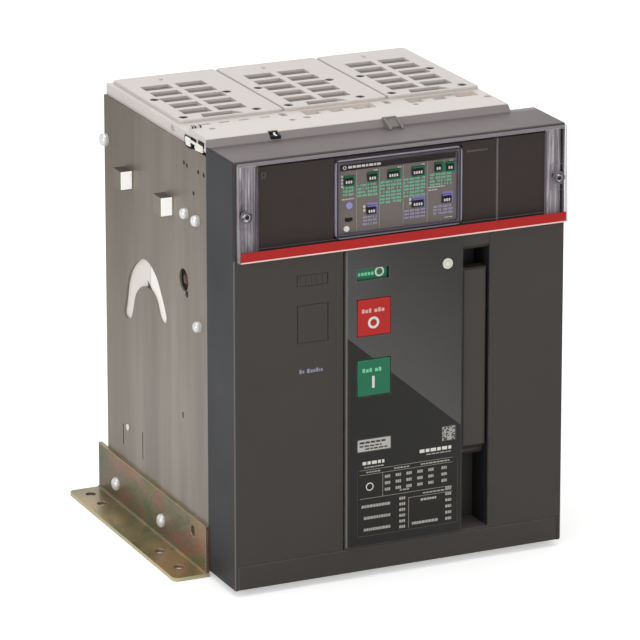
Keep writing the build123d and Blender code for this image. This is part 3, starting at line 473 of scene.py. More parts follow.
# ---------------------------------------------------------------- other materials
def end_zone_painted_reflection():
    """Painted reflection: bright upright streaks with darker patches, and a faint painted glow.
    """
    mat = Material("end_zone_painted_reflection")
    streaks = mat.noise(scale=1.0, detail=3, rough=0.6, stretch=(420, 420, 14))
    patches = mat.noise(scale=1.0, detail=3, rough=0.6, stretch=(110, 110, 22),
                        offset=(2, 5, 1), distortion=0.8)
    paint = mat.ramp(streaks, (0.35, "#8b8588"), (0.55, "#b5b0b2"), (0.7, "#f4efee"))
    paint = mat.mix(mat.remap(patches, over=(0.5, 0.66), to=(0.0, 0.55)), paint, "#565154")
    # faint emission: a painted glow
    mat.set(Emission_Color=paint, Emission_Strength=0.05, Base_Color=paint, Roughness=0.3)
    mat.bump(streaks, strength=0.2, distance=0.0002, radius=0)


def escutcheon_two_tone():
    """Satin charcoal with a painted two-tone reflection split along a falling diagonal, and
    painted highlights on its edges and left wall.
    """
    mat = Material("escutcheon_two_tone")
    slope = 0.856
    x, y, z = mat.position()
    diagonal = mat.math("ADD", mat.times(x, slope), z)
    side = mat.remap(diagonal, over=(0.16345, 0.16375))
    glow = mat.remap(diagonal, over=(0.16, 0.29), to=(1.0, 0.0))
    across = mat.remap(x, over=(-0.042, 0.058))
    light = mat.mix(glow, "#2f2d2c", "#4e4c4b")
    leftward = mat.remap(x, over=(-0.042, -0.005), to=(1.0, 0.0))
    light = mat.mix(mat.times(leftward, 0.45), light, "#4b4a4d")
    dark = mat.mix(across, "#151312", "#1b1918")
    paint = mat.mix(side, dark, light)
    # painted highlights on the edges and the left wall
    paint = mat.mix(mat.times(mat.edge(radius=0.0008), 0.55), paint, "#8f8b88")
    paint = mat.mix(mat.below(x, -0.0411), paint, "#85827f")    # the left wall
    gloss = mat.noise(scale=20, detail=3, rough=0.6)
    mat.set(Base_Color=paint, Specular_IOR_Level=0.4,
            Roughness=mat.remap(gloss, over=(0.3, 0.7), to=(0.32, 0.44)))
    mat.bump(mat.noise(scale=2200, detail=2, rough=0.6), strength=0.05, distance=0.0001)


def captive_screw(name, piece_name):
    """Smoky translucent screw head with a socket painted dark as shade and a broken painted
    glint ring.
    """
    mat = Material(name)
    centre_x, front, centre_z = front_centre(piece_name)
    radius = mat.distance(centre_x, centre_z)
    smoke = mat.noise(scale=420, detail=3, rough=0.6)
    paint = mat.ramp(smoke, (0.38, "#2d2a30"), (0.55, "#6f6a75"), (0.66, "#d9d4de"))
    # painted glint: a broken bright ring round the socket
    glint_band = mat.times(mat.remap(radius, over=(0.0017, 0.0019)),
                          mat.remap(radius, over=(0.0026, 0.0024)))
    broken = mat.remap(mat.noise(scale=260, detail=2, rough=0.5), over=(0.45, 0.55),
                       to=(0.05, 0.7))
    paint = mat.mix(mat.times(glint_band, broken), paint, "#c4c0c8")
    # painted shade: the socket as a dark disc
    paint = mat.mix(mat.remap(radius, over=(0.0019, 0.0017)), paint, "#0f0e10")
    mat.set(Base_Color=paint, Roughness=mat.remap(smoke, over=(0.3, 0.7), to=(0.2, 0.4)))
    mat.bump(smoke, strength=0.15, distance=0.0001, radius=0)


def clear_polycarbonate():
    """Light passes through flat faces; rims, returns and ribs are painted pale lilac by their
    facing, a painted sheen.
    """
    mat = Material("clear_polycarbonate")
    through = mat.node("ShaderNodeBsdfTransparent", {"Color": (0.955, 0.95, 0.965, 1)})
    smudges = mat.noise(scale=35, detail=4, rough=0.5)
    glossy = mat.node("ShaderNodeBsdfGlossy", {
        "Color": (0.95, 0.94, 1.0, 1),
        "Roughness": mat.remap(smudges, over=(0.0, 1.0), to=(0.03, 0.10))})
    mat.set(Base_Color="#c8c1c8", Roughness=0.18)
    geometry = mat.node("ShaderNodeNewGeometry").outputs
    # ABSOLUTE ignores its second number
    frontal = mat.math("ABSOLUTE", mat.split(geometry["Normal"])["Y"], second=0.5)
    # painted sheen: faces turned from the front take the pale lilac
    rim = mat.remap(frontal, over=(0.98, 0.60), to=(0.0, 0.55))
    fresnel = mat.node("ShaderNodeFresnel", {"IOR": 1.42}).outputs[0]
    weak = mat.remap(fresnel, over=(0.045, 1.0), to=(0.0, 0.8))
    # inner faces don't mirror: they would turn milky past the critical angle
    outer = mat.math("SUBTRACT", 1.0, geometry["Backfacing"])
    sheet = mat.node("ShaderNodeMixShader", {
        0: mat.times(weak, outer), 1: through.outputs[0], 2: glossy.outputs[0]})
    whole = mat.node("ShaderNodeMixShader", {
        0: rim, 1: sheet.outputs[0], 2: mat.shader.outputs[0]})
    mat.put(mat.output.inputs["Surface"], whole.outputs[0])


for row in PLASTICS:
    plastic(*row)
for row in STEELS:
    steel(*row)
steel("galvanised_sheet", "#89827a", "#aaa298", rough=0.46, metallic=0.55,
      streak=(500, 500, 8), relief=0.22, sheet=True)
steel("zinc_studs", "#e9e9e6", "#ffffff", rough=0.18, metallic=0.36,
      streak=(900, 900, 900), relief=0.05, rear="#c4b97a")
yellow_passivation()
copper_bar()
end_zone_painted_reflection()
escutcheon_two_tone()
for side in ("left", "right"):
    captive_screw("captive_screw_" + side, "cover_screw_" + side)
clear_polycarbonate()

# material: the CAD pieces that wear it
WEARERS = {
    "galvanised_sheet": ["left_side_plate", "right_side_plate"],
    "yellow_passivation": ["left_foot_bracket", "right_foot_bracket"],
    "zinc_studs": ["side_plate_studs"],
    "bright_zinc": ["foot_bracket_bolts", "contact_pivot_pins", "mechanism_tie_rods",
                    "opening_coil_plunger", "closing_coil_plunger", "handle_shaft",
                    "fixed_contact_tips"],
    "rating_plate_film": ["rating_labels"],
    "light_moulding": ["pole_case_front", "pole_case_rear", "top_front_strip"],
    "lid_moulding": ["arc_chamber_left", "arc_chamber_centre", "arc_chamber_right"],
    "black_moulding": ["arc_chamber_screws", "charging_motor", "auxiliary_contact_block",
                       "dip_switch_blocks"],
    "cold_rolled": ["arc_splitter_plates", "mechanism_side_plates", "trip_latch_shaft",
                    "close_latch_shaft", "ratchet_lever", "drive_pawl", "camshaft",
                    "ratchet_wheel", "main_shaft", "coupling_rods"],
    "oiled_spring": ["closing_spring", "opening_springs"],
    "copper_bar": ["upper_terminals", "lower_terminals", "flexible_braids", "contact_fingers"],
    "cast_resin": ["current_sensors", "release_coils"],
    "thermoset": ["contact_carriers"],
    "charcoal_moulding": ["front_cover", "bottom_trim_strip"],
    "handle_moulding": ["charging_handle"],
    "dark_panel": ["upper_panel"],
    "trip_rim": ["trip_unit_housing"],
    "trip_face": ["trip_unit_faceplate"],
    "escutcheon_two_tone": ["central_escutcheon"],
    "red_button": ["off_button"],
    "green_button": ["on_button", "position_flag"],
    "red_band": ["red_trim_band"],
    "white_plastic": ["test_button", "setting_sliders"],
    "plug_white": ["round_plug"],
    "blue_button": ["reset_button"],
    "captive_screw_left": ["cover_screw_left"],
    "captive_screw_right": ["cover_screw_right"],
    "clear_polycarbonate": ["transparent_cover"],
}
for material, names in WEARERS.items():
    for name in names:
        slots = NODES[name].data.materials
        slots.clear()
        slots.append(MATERIALS[material])


# ---------------------------------------------------------------- mesh helpers
def add_object(name, data):
    made = bpy.data.objects.new(name, data)
    SCENE.collection.objects.link(made)
    return made


@contextmanager
def piece(name, material, slot, body="frame", bevel=0.0):
    """Gives an empty mesh to fill, then makes it an object that rides on `body`."""
    mesh = bmesh.new()
    yield mesh
    bmesh.ops.recalc_face_normals(mesh, faces=mesh.faces)
    data = bpy.data.meshes.new(name)
    mesh.to_mesh(data)
    mesh.free()
    made = add_object(name, data)
    data.materials.append(MATERIALS[material])
    if bevel:
        edges = made.modifiers.new("edges", "BEVEL")
        edges.width = bevel
        edges.segments = 2
        edges.limit_method = "ANGLE"
        edges.angle_limit = math.radians(40)
    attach(made, body)


def box(mesh, left, right, front, back, bottom, top):
    corners = [mesh.verts.new((x, y, z))
               for x in (left, right) for y in (front, back) for z in (bottom, top)]
    for face in ((0, 1, 3, 2), (4, 6, 7, 5), (0, 4, 5, 1), (2, 3, 7, 6), (0, 2, 6, 4),
                 (1, 5, 7, 3)):
        mesh.faces.new([corners[i] for i in face])


def extrude(mesh, near, far):
    """A closed solid between two matching outlines."""
    near = [mesh.verts.new(point) for point in near]
    far = [mesh.verts.new(point) for point in far]
    mesh.faces.new(near)
    mesh.faces.new(far[::-1])
    for i in range(len(near)):
        j = (i + 1) % len(near)
        mesh.faces.new((near[i], near[j], far[j], far[i]))


def prism(mesh, outline, left, right):
    """A (y, z) outline carried along X."""
    extrude(mesh, [(left, y, z) for y, z in outline], [(right, y, z) for y, z in outline])


def rounded(mesh, face, centre_x, centre_z, width, height, radius, rise=RISE, sink=SINK):
    """A plate with rounded corners on a front face; mm, except face, rise and sink."""
    outline = []
    steps = 5
    for side_x, side_z, start in ((1, 1, 0), (-1, 1, 90), (-1, -1, 180), (1, -1, 270)):
        for k in range(steps + 1):
            angle = math.radians(start + 90 * k / steps)
            x = centre_x + side_x * (width / 2 - radius) + radius * math.cos(angle)
            z = centre_z + side_z * (height / 2 - radius) + radius * math.sin(angle)
            outline.append((x * MM, z * MM))
    extrude(mesh, [(x, face - rise, z) for x, z in outline],
            [(x, face + sink, z) for x, z in outline])


def circle(count):
    """Cosine and sine of each step round a circle."""
    angles = [2 * math.pi * k / count for k in range(count)]
    return [(math.cos(angle), math.sin(angle)) for angle in angles]


def hoop(mesh, rows):
    """Joins four circles of points into a closed hoop."""
    rows = [[mesh.verts.new(point) for point in row] for row in rows]
    for i, row in enumerate(rows):
        following = rows[(i + 1) % 4]
        for k in range(len(row)):
            j = (k + 1) % len(row)
            mesh.faces.new((row[k], row[j], following[j], following[k]))


def ring(mesh, centre_x, centre_z, outer, inner, front, back, count=48):
    """A flat ring facing the front."""
    hoop(mesh, [[(centre_x + radius * cos, y, centre_z + radius * sin)
                 for cos, sin in circle(count)]
                for radius, y in ((outer, front), (outer, back), (inner, back), (inner, front))])


def mark(mesh, face, left, right, bottom, top, rise=RISE, sink=SINK):
    """A printed bar on a front face; mm, except face, rise and sink."""
    box(mesh, left * MM, right * MM, face - rise, face + sink, bottom * MM, top * MM)


def words(mesh, face, left, right, middle, height, word=(2.0, 5.0), gap=0.9, **depth):
    """A row of short bars that stands for a printed line, in mm."""
    x = left
    while x < right - 0.6:
        width = min(random.uniform(*word), right - x)
        mark(mesh, face, x, x + width, middle - height / 2, middle + height / 2, **depth)
        x += width + gap


def number_grid(mesh, face, left, right, top, rows, columns):
    """Rows of short three-figure numbers, one per column, in mm."""
    row_pitch, full_height = 2.7, 1.75
    pitch = (right - left) / columns
    figure_pitch = pitch * 0.86 / 3
    for row in range(rows):
        for column in range(columns):
            x = left + pitch * (column + 0.05) + random.uniform(-0.15, 0.15)
            for figure in range(3):
                if random.random() < 0.93:
                    height = full_height * random.choice((0.8, 1.0, 1.0))
                    row_top = top - row_pitch * row
                    mark(mesh, face, x, x + figure_pitch * 0.72, row_top - height, row_top)
                x += figure_pitch


# ---------------------------------------------------------------- buttons and flag
# offset and width of each letter, mm
LETTERS = ((0, 2.2), (2.9, 2.4), (6.0, 2.0), (10.6, 2.6), (13.8, 2.2), (16.7, 2.4))


def button_legend(name, material, button, start, foot, letters):
    """Letters of two heights; start in mm and foot in metres from the button's centre."""
    x, face, z = front_centre(button)
    with piece(name, material, "white_plastic", button) as mesh:
        for k, (offset, width) in enumerate(letters):
            left = x + (start + offset) * MM
            height = 0.0026 if k % 2 else 0.0033
            box(mesh, left, left + width * MM, face - RISE, face + BUTTON_SINK,
                z + foot, z + foot + height)


def button_marks():
    x, face, z = front_centre("off_button")
    with piece("off_symbol", "white_print", "white_plastic", "off_button", 0.00003) as mesh:
        ring(mesh, x - 0.0006, z - 0.0043, 0.0048, 0.0028, face - RISE, face + BUTTON_SINK)
    button_legend("off_legend", "pink_legend", "off_button", -10.6, 0.0040, LETTERS)
    x, face, z = front_centre("on_button")
    with piece("on_symbol", "white_print", "white_plastic", "on_button", 0.00003) as mesh:
        box(mesh, x - 0.0018, x + 0.0004, face - RISE, face + BUTTON_SINK,
            z - 0.0085, z + 0.0012)
    button_legend("on_legend", "green_legend", "on_button", -10.0, 0.0046, LETTERS[:5])


def flag_marks():
    """The lower zone shows open (ring), the upper zone shows closed (bar on red)."""
    low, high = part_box("position_flag")
    front, back = low.y - RISE, low.y + BUTTON_SINK
    body = "position_flag"
    with piece("flag_ring", "white_print", "white_plastic", body, 0.00003) as mesh:
        ring(mesh, high.x - 0.0066, low.z + 0.0062, 0.0040, 0.0026, front, back)
    with piece("flag_legend", "green_legend", "white_plastic", body) as mesh:
        for k in range(5):
            left = low.x + 0.0016 + 0.0028 * k
            box(mesh, left, left + 0.0021, front, back, low.z + 0.0042, low.z + 0.0068)
    with piece("flag_closed_zone", "red_button", "red_plastic", body) as mesh:
        box(mesh, low.x + 0.0001, high.x - 0.0001, low.y - 0.00010, back,
            low.z + 0.0108, high.z - 0.0001)
    with piece("flag_bar", "white_print", "white_plastic", body) as mesh:
        box(mesh, high.x - 0.0062, high.x - 0.0044, low.y - 0.00022, low.y + 0.0001,
            low.z + 0.0122, high.z - 0.0014)


# ---------------------------------------------------------------- labels on the escutcheon
LINE = 0.3      # width of a printed line, mm
# left, right, bottom, top in mm; None is one line width on
LABEL_LINES = (
    (-30.6, 49.5, 89.4, None), (-30.6, 49.5, 85.6, None), (-10.9, None, 66.2, 85.6),
    (-30.6, 49.5, 66.0, None), (11.5, 49.5, 61.4, None), (11.5, None, 36.6, 61.4),
)
# rows of words: left, right, middle height, letter height, word lengths, gap, all mm
LABEL_HEADINGS = (
    (-28.2, -9.5, 95.2, 2.6, (2.2, 5.5), 1.0),
    (21.0, 48.5, 98.2, 2.7, (3, 6.5), 1.0),
)
LABEL_ROWS = (
    (-26.8, -10.0, 91.7, 1.0, (1.5, 3.6), 0.6),
    (27.0, 48.0, 94.9, 0.9, (2, 4), 0.6),
    (-25.0, -13.0, 87.6, 1.1, (1.5, 3), 0.6),
    (-1.0, 12.0, 87.6, 1.1, (1.5, 3), 0.6),
    (22.0, 47.0, 87.6, 1.2, (1.5, 4), 0.6),
    *((x - 0.4, x + 4.2, 82.0 - 5.3 * k, 2.4, (1.2, 1.6), 0.35)
      for k in range(3) for x in (-8.6, 0.8, 10.0, 19.5, 29.0, 40.5)),
    (4.0, 12.0, 69.0, 1.0, (1.5, 3), 0.6),
    (24.0, 48.5, 63.6, 1.1, (2, 4), 0.6),
    *((left, -4.0, 59.6 - 9.6 * k, 2.3, (1.4, 2.6), 0.4)
      for k, left in enumerate((-29.0, -27.0, -27.0))),
    *((left, right, top - pitch * k, 2.3, (1.3, 1.8), 0.4)
      for k in range(6)
      for left, right, top, pitch in ((3.6, 8.6, 62.0, 4.7), (43.6, 48.8, 65.0, 5.1))),
    (22.0, 36.0, 58.4, 1.9, (1.4, 2.6), 0.4),
    (14.5, 37.5, 39.8, 2.2, (1.4, 2.6), 0.4),
)
SILVER_ROWS = (
    (-30.8, -8.0, 112.2, 1.5, (3, 6)),
    (-30.8, -12.0, 109.3, 1.1, (2, 4)),
    (-26.0, -7.0, 106.9, 1.1, (2, 4)),
)


def rating_label_print(face):
    with piece("rating_rules", "grey_print", "white_plastic") as mesh:
        for left, right, bottom, top in LABEL_LINES:
            mark(mesh, face, left, right or left + LINE, bottom, top or bottom + LINE)
    with piece("rating_headings", "white_print", "white_plastic") as mesh:
        for row in LABEL_HEADINGS:
            words(mesh, face, *row)
        ring(mesh, -0.0220, 0.0756, 0.0033, 0.0025, face - RISE, face + SINK, 32)
    with piece("rating_legend", "grey_print", "white_plastic") as mesh:
        for row in LABEL_ROWS:
            words(mesh, face, *row)


def silver_label(face):
    with piece("silver_label", "silver_label", "bright_steel", bevel=0.00005) as mesh:
        rounded(mesh, face, -18.35, 109.85, 28.2, 9.6, 0.8, rise=0.00022)
    with piece("silver_label_legend", "label_film", "label_dark") as mesh:
        for row in SILVER_ROWS:
            words(mesh, face, *row, rise=0.00032, sink=-0.0001)


def square_code(face):
    """A square of randomly filled cells on a pale ground."""
    centre_x, centre_z, ground, size, cells = 46.2, 109.9, 11.2, 10.8, 11
    with piece("square_tracking_ground", "grey_print", "white_plastic") as mesh:
        rounded(mesh, face, centre_x, centre_z, ground, ground, 0.3)
    cell = size / cells
    with piece("square_tracking_mark", "label_film", "label_dark") as mesh:
        for i in range(cells):
            for j in range(cells):
                if random.random() < 0.42:
                    x = centre_x - size / 2 + i * cell
                    z = centre_z - size / 2 + j * cell
                    mark(mesh, face, x + cell * 0.06, x + cell * 0.94, z + cell * 0.06,
                         z + cell * 0.94, rise=2 * RISE, sink=-RISE * 0.5)


def panel_caption():
    """Short caption on the left panel of the cover; a zero width is a space."""
    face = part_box("bottom_trim_strip")[0].y
    x = -80.6
    with piece("panel_caption", "pale_lilac_print", "white_plastic") as mesh:
        for width in (2.6, 2.0, 0.0, 3.0, 2.4, 2.2, 2.6, 1.6, 2.0):
            if width:
                top = 177.0 + (0.9 if width > 2.5 else 0)
                mark(mesh, face, x, x + width - 0.5, 174.6, top)
            x += width or 1.8


# ---------------------------------------------------------------- trip unit face
# switch blocks: centre x, centre z in mm, number of switches
UPPER_BLOCKS = ((-38.2, 323.7, 3), (-18.2, 324.6, 3), (-0.3, 324.8, 4),
                (20.5, 324.7, 4), (38.0, 325.8, 2), (48.2, 325.4, 2))
LOWER_BLOCKS = ((-18.9, 298.4, 3), (20.6, 299.2, 4), (45.4, 299.8, 3))
# number grids: left, right, top in mm, rows, columns
UPPER_GRIDS = ((-43.0, -33.2, 318.6, 3, 2), (-30.8, -13.0, 319.2, 4, 4),
               (-11.4, 7.4, 319.6, 7, 4), (8.9, 27.9, 319.6, 6, 4), (31.0, 50.4, 320.6, 4, 4))
LOWER_GRIDS = ((-26.0, -13.4, 293.4, 3, 3), (9.3, 27.8, 294.2, 3, 4), (34.0, 51.6, 294.6, 3, 4))
# small word rows, columns as for the labels
TRIP_ROWS = (
    (-43.5, -33.5, 308.8, 0.7, (1.4, 3), 0.5), (30.0, 44.0, 309.8, 0.8, (1.4, 3), 0.5),
    (30.0, 38.0, 307.6, 0.8, (1.4, 3), 0.5), (44.0, 51.5, 284.4, 0.7, (1.2, 2.4), 0.5),
)


def setting_area(colour, slot, face, blocks, margins, grids, extra=()):
    """Grounds round the switch blocks, and their numbers.

    margins is how far a ground reaches right of, below and above its block, in mm.
    """
    beyond, below, above = margins
    switch_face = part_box("dip_switch_blocks")[0].y
    with piece("setting_blocks_" + colour, colour + "_print", slot) as mesh:
        for x, z, switches in blocks:
            half = (2.0 * switches + 2.0) / 2
            mark(mesh, face, x - half + 0.6, x + half + beyond, z - below, z + above)
            mark(mesh, switch_face, x - half + 0.05, x + half - 0.05, z + 2.45, z + 3.35,
                 rise=0.0001)
        for bounds in extra:
            mark(mesh, face, *bounds)
    with piece("setting_legend_" + colour, colour + "_legend", slot) as mesh:
        for grid in grids:
            number_grid(mesh, face, *grid)


def trip_unit_print():
    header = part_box("trip_unit_faceplate")[0].y
    face = header + 0.0005          # the flat between the raised lines
    setting_area("green", "green_plastic", face, UPPER_BLOCKS, (1.5, 4.9, 3.9), UPPER_GRIDS,
                 extra=((42.9, 45.4, 321.3, 328.6),))
    setting_area("lilac", "blue_plastic", face, LOWER_BLOCKS, (1.6, 3.9, 5.2), LOWER_GRIDS)
    with piece("trip_unit_header", "header_film", "dark_panel") as mesh:
        mark(mesh, header, -44.9, 52.9, 331.6, 336.4, rise=0.0001)
    with piece("trip_unit_legend", "white_print", "white_plastic") as mesh:
        words(mesh, header, -38.5, -11.0, 334.2, 1.9, (1.6, 4.2), 0.7,
              rise=0.00025, sink=-0.00005)
        ring(mesh, -0.0416, 0.3341, 0.0015, 0.0009, header - 0.00025, header - 0.00005, 24)
        for x in (-13.6, 6.7, 27.0, 51.0):
            words(mesh, face, x - 3.0, x, 329.4, 1.0, (1, 1.6), 0.4)
            words(mesh, face, x - 1.6, x, 327.6, 1.0, (1, 1.4), 0.4)
        for z in (318.4, 321.0, 323.6, 326.2):
            mark(mesh, face, -44.2, -42.6, z, z + 1.7)
        for x, z in ((-25.6, 300.2), (-25.6, 297.2), (13.6, 301.2), (13.6, 298.2)):
            mark(mesh, face, x, x + 1.8, z, z + 2.1)
        for row in TRIP_ROWS:
            words(mesh, face, *row)
    with piece("test_port_shade", "deep_shadow", "label_dark") as mesh:
        mark(mesh, face, -41.2, -34.6, 291.2, 294.0)
        mark(mesh, face, -39.6, -36.2, 290.6, 291.3)


# ---------------------------------------------------------------- upper panel and cover
def right_panel_caption():
    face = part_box("upper_panel")[0].y + 0.0004
    with piece("right_panel_caption", "dim_caption", "bright_steel") as mesh:
        words(mesh, face, 62.6, 80.5, 335.2, 1.5, (1.2, 2.2), 0.45)


def end_zones():
    """Pale slats behind the end zones of the clear cover; every other one is proud."""
    slats = 7
    for side, left, right in (("left", -131.6, -114.9), ("right", 132.0, 145.6)):
        pitch = (right - left) / slats
        with piece("end_zone_" + side, "end_zone_painted_reflection", "clear_plastic",
                   bevel=0.0001) as mesh:
            for k in range(slats):
                share = 0.86 if k % 2 else 1.0
                mark(mesh, -0.1643, left + pitch * k, left + pitch * (k + share), 273.0, 344.5,
                     rise=0.0006 + 0.00035 * (k % 2), sink=0.0)


def corner_label():
    """Small label, top left of the dark panel."""
    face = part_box("upper_panel")[0].y
    with piece("corner_label", "dark_panel", "dark_panel", bevel=0.0001) as mesh:
        rounded(mesh, face, -109.5, 336.5, 7.4, 7.4, 1.4, rise=0.0002, sink=0.0002)
    with piece("corner_label_mark", "dim_caption", "bright_steel") as mesh:
        ring(mesh, -0.1095, 0.3367, 0.0020, 0.0014, face - 0.0004, face, 28)
        words(mesh, face, -112.0, -107.0, 334.0, 0.6, (1, 2), rise=0.0003, sink=0.0)


def trim_band_line():
    """Pale line along the lower edge of the red band."""
    low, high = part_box("red_trim_band")
    with piece("trim_band_edge_line", "soft_print", "white_plastic", "transparent_cover",
               0.00005) as mesh:
        box(mesh, low.x, high.x, low.y - 0.00012, low.y + 0.0006, low.z - 0.0010,
            low.z + 0.0001)


# ---------------------------------------------------------------- vents on the top
VENT_FLOOR = 0.3497
VENT_TOP = 0.3501


def vent_inserts():
    """Ribbed plates in the two columns of vents and the front duct of each pole."""
    half_x, half_y = 0.0119, 0.0067
    for pole, centre in (("left", -0.090), ("centre", 0.0), ("right", 0.090)):
        with piece("vent_diffuser_" + pole, "vent_grey", "zinc_steel") as mesh:
            for x in (centre - 0.0148, centre + 0.0148):
                for k in range(5):
                    y = 0.0543 - 0.01965 * k
                    box(mesh, x - half_x, x + half_x, y - half_y, y + half_y,
                        VENT_FLOOR, VENT_TOP)
                    for rib in range(12):
                        left = x - half_x + 0.0008 + 0.0019 * rib
                        box(mesh, left, left + 0.0007, y - half_y + 0.0004,
                            y + half_y - 0.0004, VENT_TOP, VENT_TOP + 0.00018)
        outline = [(centre - 0.0168, -0.0449), (centre + 0.0177, -0.0449),
                   (centre + 0.0114, -0.0356), (centre - 0.0149, -0.0356)]
        with piece("front_duct_insert_" + pole, "vent_shade", "zinc_steel") as mesh:
            extrude(mesh, [(x, y, VENT_FLOOR) for x, y in outline],
                    [(x, y, VENT_TOP) for x, y in outline])
            for rib in range(9):
                left = centre - 0.0140 + 0.0031 * rib
                box(mesh, left, left + 0.0008, -0.0444, -0.0360, VENT_TOP, VENT_TOP + 0.0002)


# ---------------------------------------------------------------- shaft ends
SHAFT_Y, SHAFT_Z = -0.069, 0.230
DOME_HEIGHT = 0.0026
# dome below its tip: radius, height above the shaft end
DOME = ((0.0016, 0.0025), (0.0030, 0.0021), (0.0041, 0.0014), (0.0048, 0.0005), (0.0050, 0.0))
# section of the dark ring round the dome: radius, height
SHADOW_RING = ((0.0054, 0.0), (0.0054, 0.0005), (0.0093, 0.0005), (0.0093, 0.0))


def shaft_circle(x, radius, count):
    return [(x, SHAFT_Y + radius * cos, SHAFT_Z + radius * sin) for cos, sin in circle(count)]


def shaft_ends():
    """A domed plug and a dark ring on each end of the shaft, seen in the side windows."""
    low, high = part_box("main_shaft")
    count = 36
    for side, outward, end in (("left", -1, low.x), ("right", 1, high.x)):
        with piece("shaft_end_plug_" + side, "bronzed_plug", "copper", "main_shaft") as mesh:
            rings = [[mesh.verts.new(point)
                      for point in shaft_circle(end + outward * height, radius, count)]
                     for radius, height in DOME]
            tip = mesh.verts.new((end + outward * DOME_HEIGHT, SHAFT_Y, SHAFT_Z))
            for k in range(count):
                j = (k + 1) % count
                mesh.faces.new((tip, rings[0][k], rings[0][j]))
                for inner, outer in zip(rings, rings[1:]):
                    mesh.faces.new((inner[k], outer[k], outer[j], inner[j]))
            mesh.faces.new(rings[-1])
        with piece("shaft_end_shadow_ring_" + side, "deep_shadow", "black_steel",
                   "main_shaft") as mesh:
            hoop(mesh, [shaft_circle(end + outward * height, radius, 48)
                        for radius, height in SHADOW_RING])


# ---------------------------------------------------------------- rear lip and corner clip
# outlines as (y, z)
CATCH_RAIL = ((-0.11635, 0.3493), (-0.11635, 0.3560), (-0.1192, 0.3560), (-0.1310, 0.3516),
              (-0.1322, 0.3504), (-0.1322, 0.3493))
CATCH_TONGUE = ((-0.1164, 0.3493), (-0.1164, 0.3549), (-0.1192, 0.3548), (-0.1280, 0.3510),
                (-0.1280, 0.3493))
CLIP_SLOTS = (
    ((-0.0880, 0.3488), (-0.0745, 0.3488), (-0.0738, 0.3440), (-0.0775, 0.3394),
     (-0.0880, 0.3400)),
    ((-0.1110, 0.3505), (-0.1010, 0.3505), (-0.1010, 0.3468), (-0.1110, 0.3462)),
)
CLIP_ENDS = (
    ((-0.0868, 0.3482), (-0.0776, 0.3482), (-0.0765, 0.3455), (-0.0790, 0.3414),
     (-0.0868, 0.3418)),
    ((-0.1105, 0.3478), (-0.0975, 0.3478), (-0.0955, 0.3440), (-0.0975, 0.3415),
     (-0.1105, 0.3425)),
)
CLIP_BRIDGE = ((-0.0975, 0.3470), (-0.0868, 0.3474), (-0.0868, 0.3452), (-0.0975, 0.3452))


def cover_catch():
    """Catch of the clear cover on the rear lip: two rails and a sunk tongue."""
    with piece("cover_catch", "catch_grey", "charcoal_plastic", bevel=0.0003) as mesh:
        prism(mesh, CATCH_RAIL, 0.0133, 0.0151)
        prism(mesh, CATCH_RAIL, 0.0233, 0.0251)
        prism(mesh, CATCH_TONGUE, 0.0151, 0.0233)


def lip_notch():
    """Painted shade and glint in the notch of the lip: a dark liner and a small bright tip."""
    with piece("lip_notch_liner", "deep_shadow", "black_steel", bevel=0.0002) as mesh:
        box(mesh, -0.08285, -0.07465, -0.1219, -0.1126, 0.3502, 0.3526)
        box(mesh, -0.08285, -0.07465, -0.1150, -0.1126, 0.3526, 0.3543)
    # painted glint: a small bright tip in the notch
    with piece("lip_notch_glint", "bright_zinc", "bright_steel", bevel=0.0001) as mesh:
        box(mesh, -0.0795, -0.0777, -0.1215, -0.1175, 0.3526, 0.3531)
        box(mesh, -0.0795, -0.0777, -0.1178, -0.1170, 0.3526, 0.3544)


def corner_clip():
    """White clip over the top front corner of the left side plate, in its dark slot."""
    with piece("corner_clip_slot", "deep_shadow", "black_steel", bevel=0.0001) as mesh:
        for outline in CLIP_SLOTS:
            prism(mesh, outline, -0.1353, -0.1344)
    with piece("corner_clip", "white_plastic", "white_plastic", bevel=0.0004) as mesh:
        for outline in CLIP_ENDS:
            prism(mesh, outline, -0.1362, -0.1346)
        prism(mesh, CLIP_BRIDGE, -0.1358, -0.1346)
    with piece("corner_block_slots", "deep_shadow", "black_steel") as mesh:
        for left in (-0.1322, -0.1300, -0.1256):
            box(mesh, left, left + 0.0011, -0.0824, -0.0785, 0.3512, 0.3563)
        box(mesh, -0.1340, -0.1237, -0.0824, -0.0820, 0.3496, 0.3508)


def screw_glint_rings():
    """Pale rings round the captive screws of the clear cover: a painted glint."""
    for side in ("left", "right"):
        x, face, z = front_centre("cover_screw_" + side)
        with piece("screw_glint_ring_" + side, "pale_collar", "clear_plastic",
                   "transparent_cover", 0.0002) as mesh:
            ring(mesh, x, z, 0.0051, 0.0042, face + 0.0004, face + 0.0022, 40)


button_marks()
flag_marks()
label_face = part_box("rating_labels")[0].y
rating_label_print(label_face)
silver_label(label_face)
square_code(label_face)
panel_caption()
trip_unit_print()
right_panel_caption()
end_zones()
corner_label()
trim_band_line()
vent_inserts()
shaft_ends()
cover_catch()
lip_notch()
corner_clip()
screw_glint_rings()

# ---------------------------------------------------------------- lights, floor and camera
LIGHT_TARGET = Vector((0.0, 0.0, 0.18))
# name, place, side of the square, power in watts, colour
LIGHTS = (
    ("key_top", (-0.3, -0.2, 2.0), 1.6, 13, (1, 1, 1)),
    ("fill_front", (0.6, -2.6, 0.9), 1.6, 13, (1.0, 0.985, 0.96)),
    ("left_side", (-2.2, -0.9, 0.8), 1.4, 15, (0.98, 0.99, 1.0)),
    ("back_rim", (0.8, 2.2, 1.4), 1.6, 8, (1, 1, 1)),
)


def area_light(name, place, size, power, colour):
    data = bpy.data.lights.new(name, "AREA")
    data.shape = "RECTANGLE"
    data.size = size
    data.size_y = size
    data.energy = power
    data.color = colour
    light = add_object(name, data)
    light.location = place
    aim = LIGHT_TARGET - Vector(place)
    light.rotation_euler = aim.to_track_quat("-Z", "Y").to_euler()


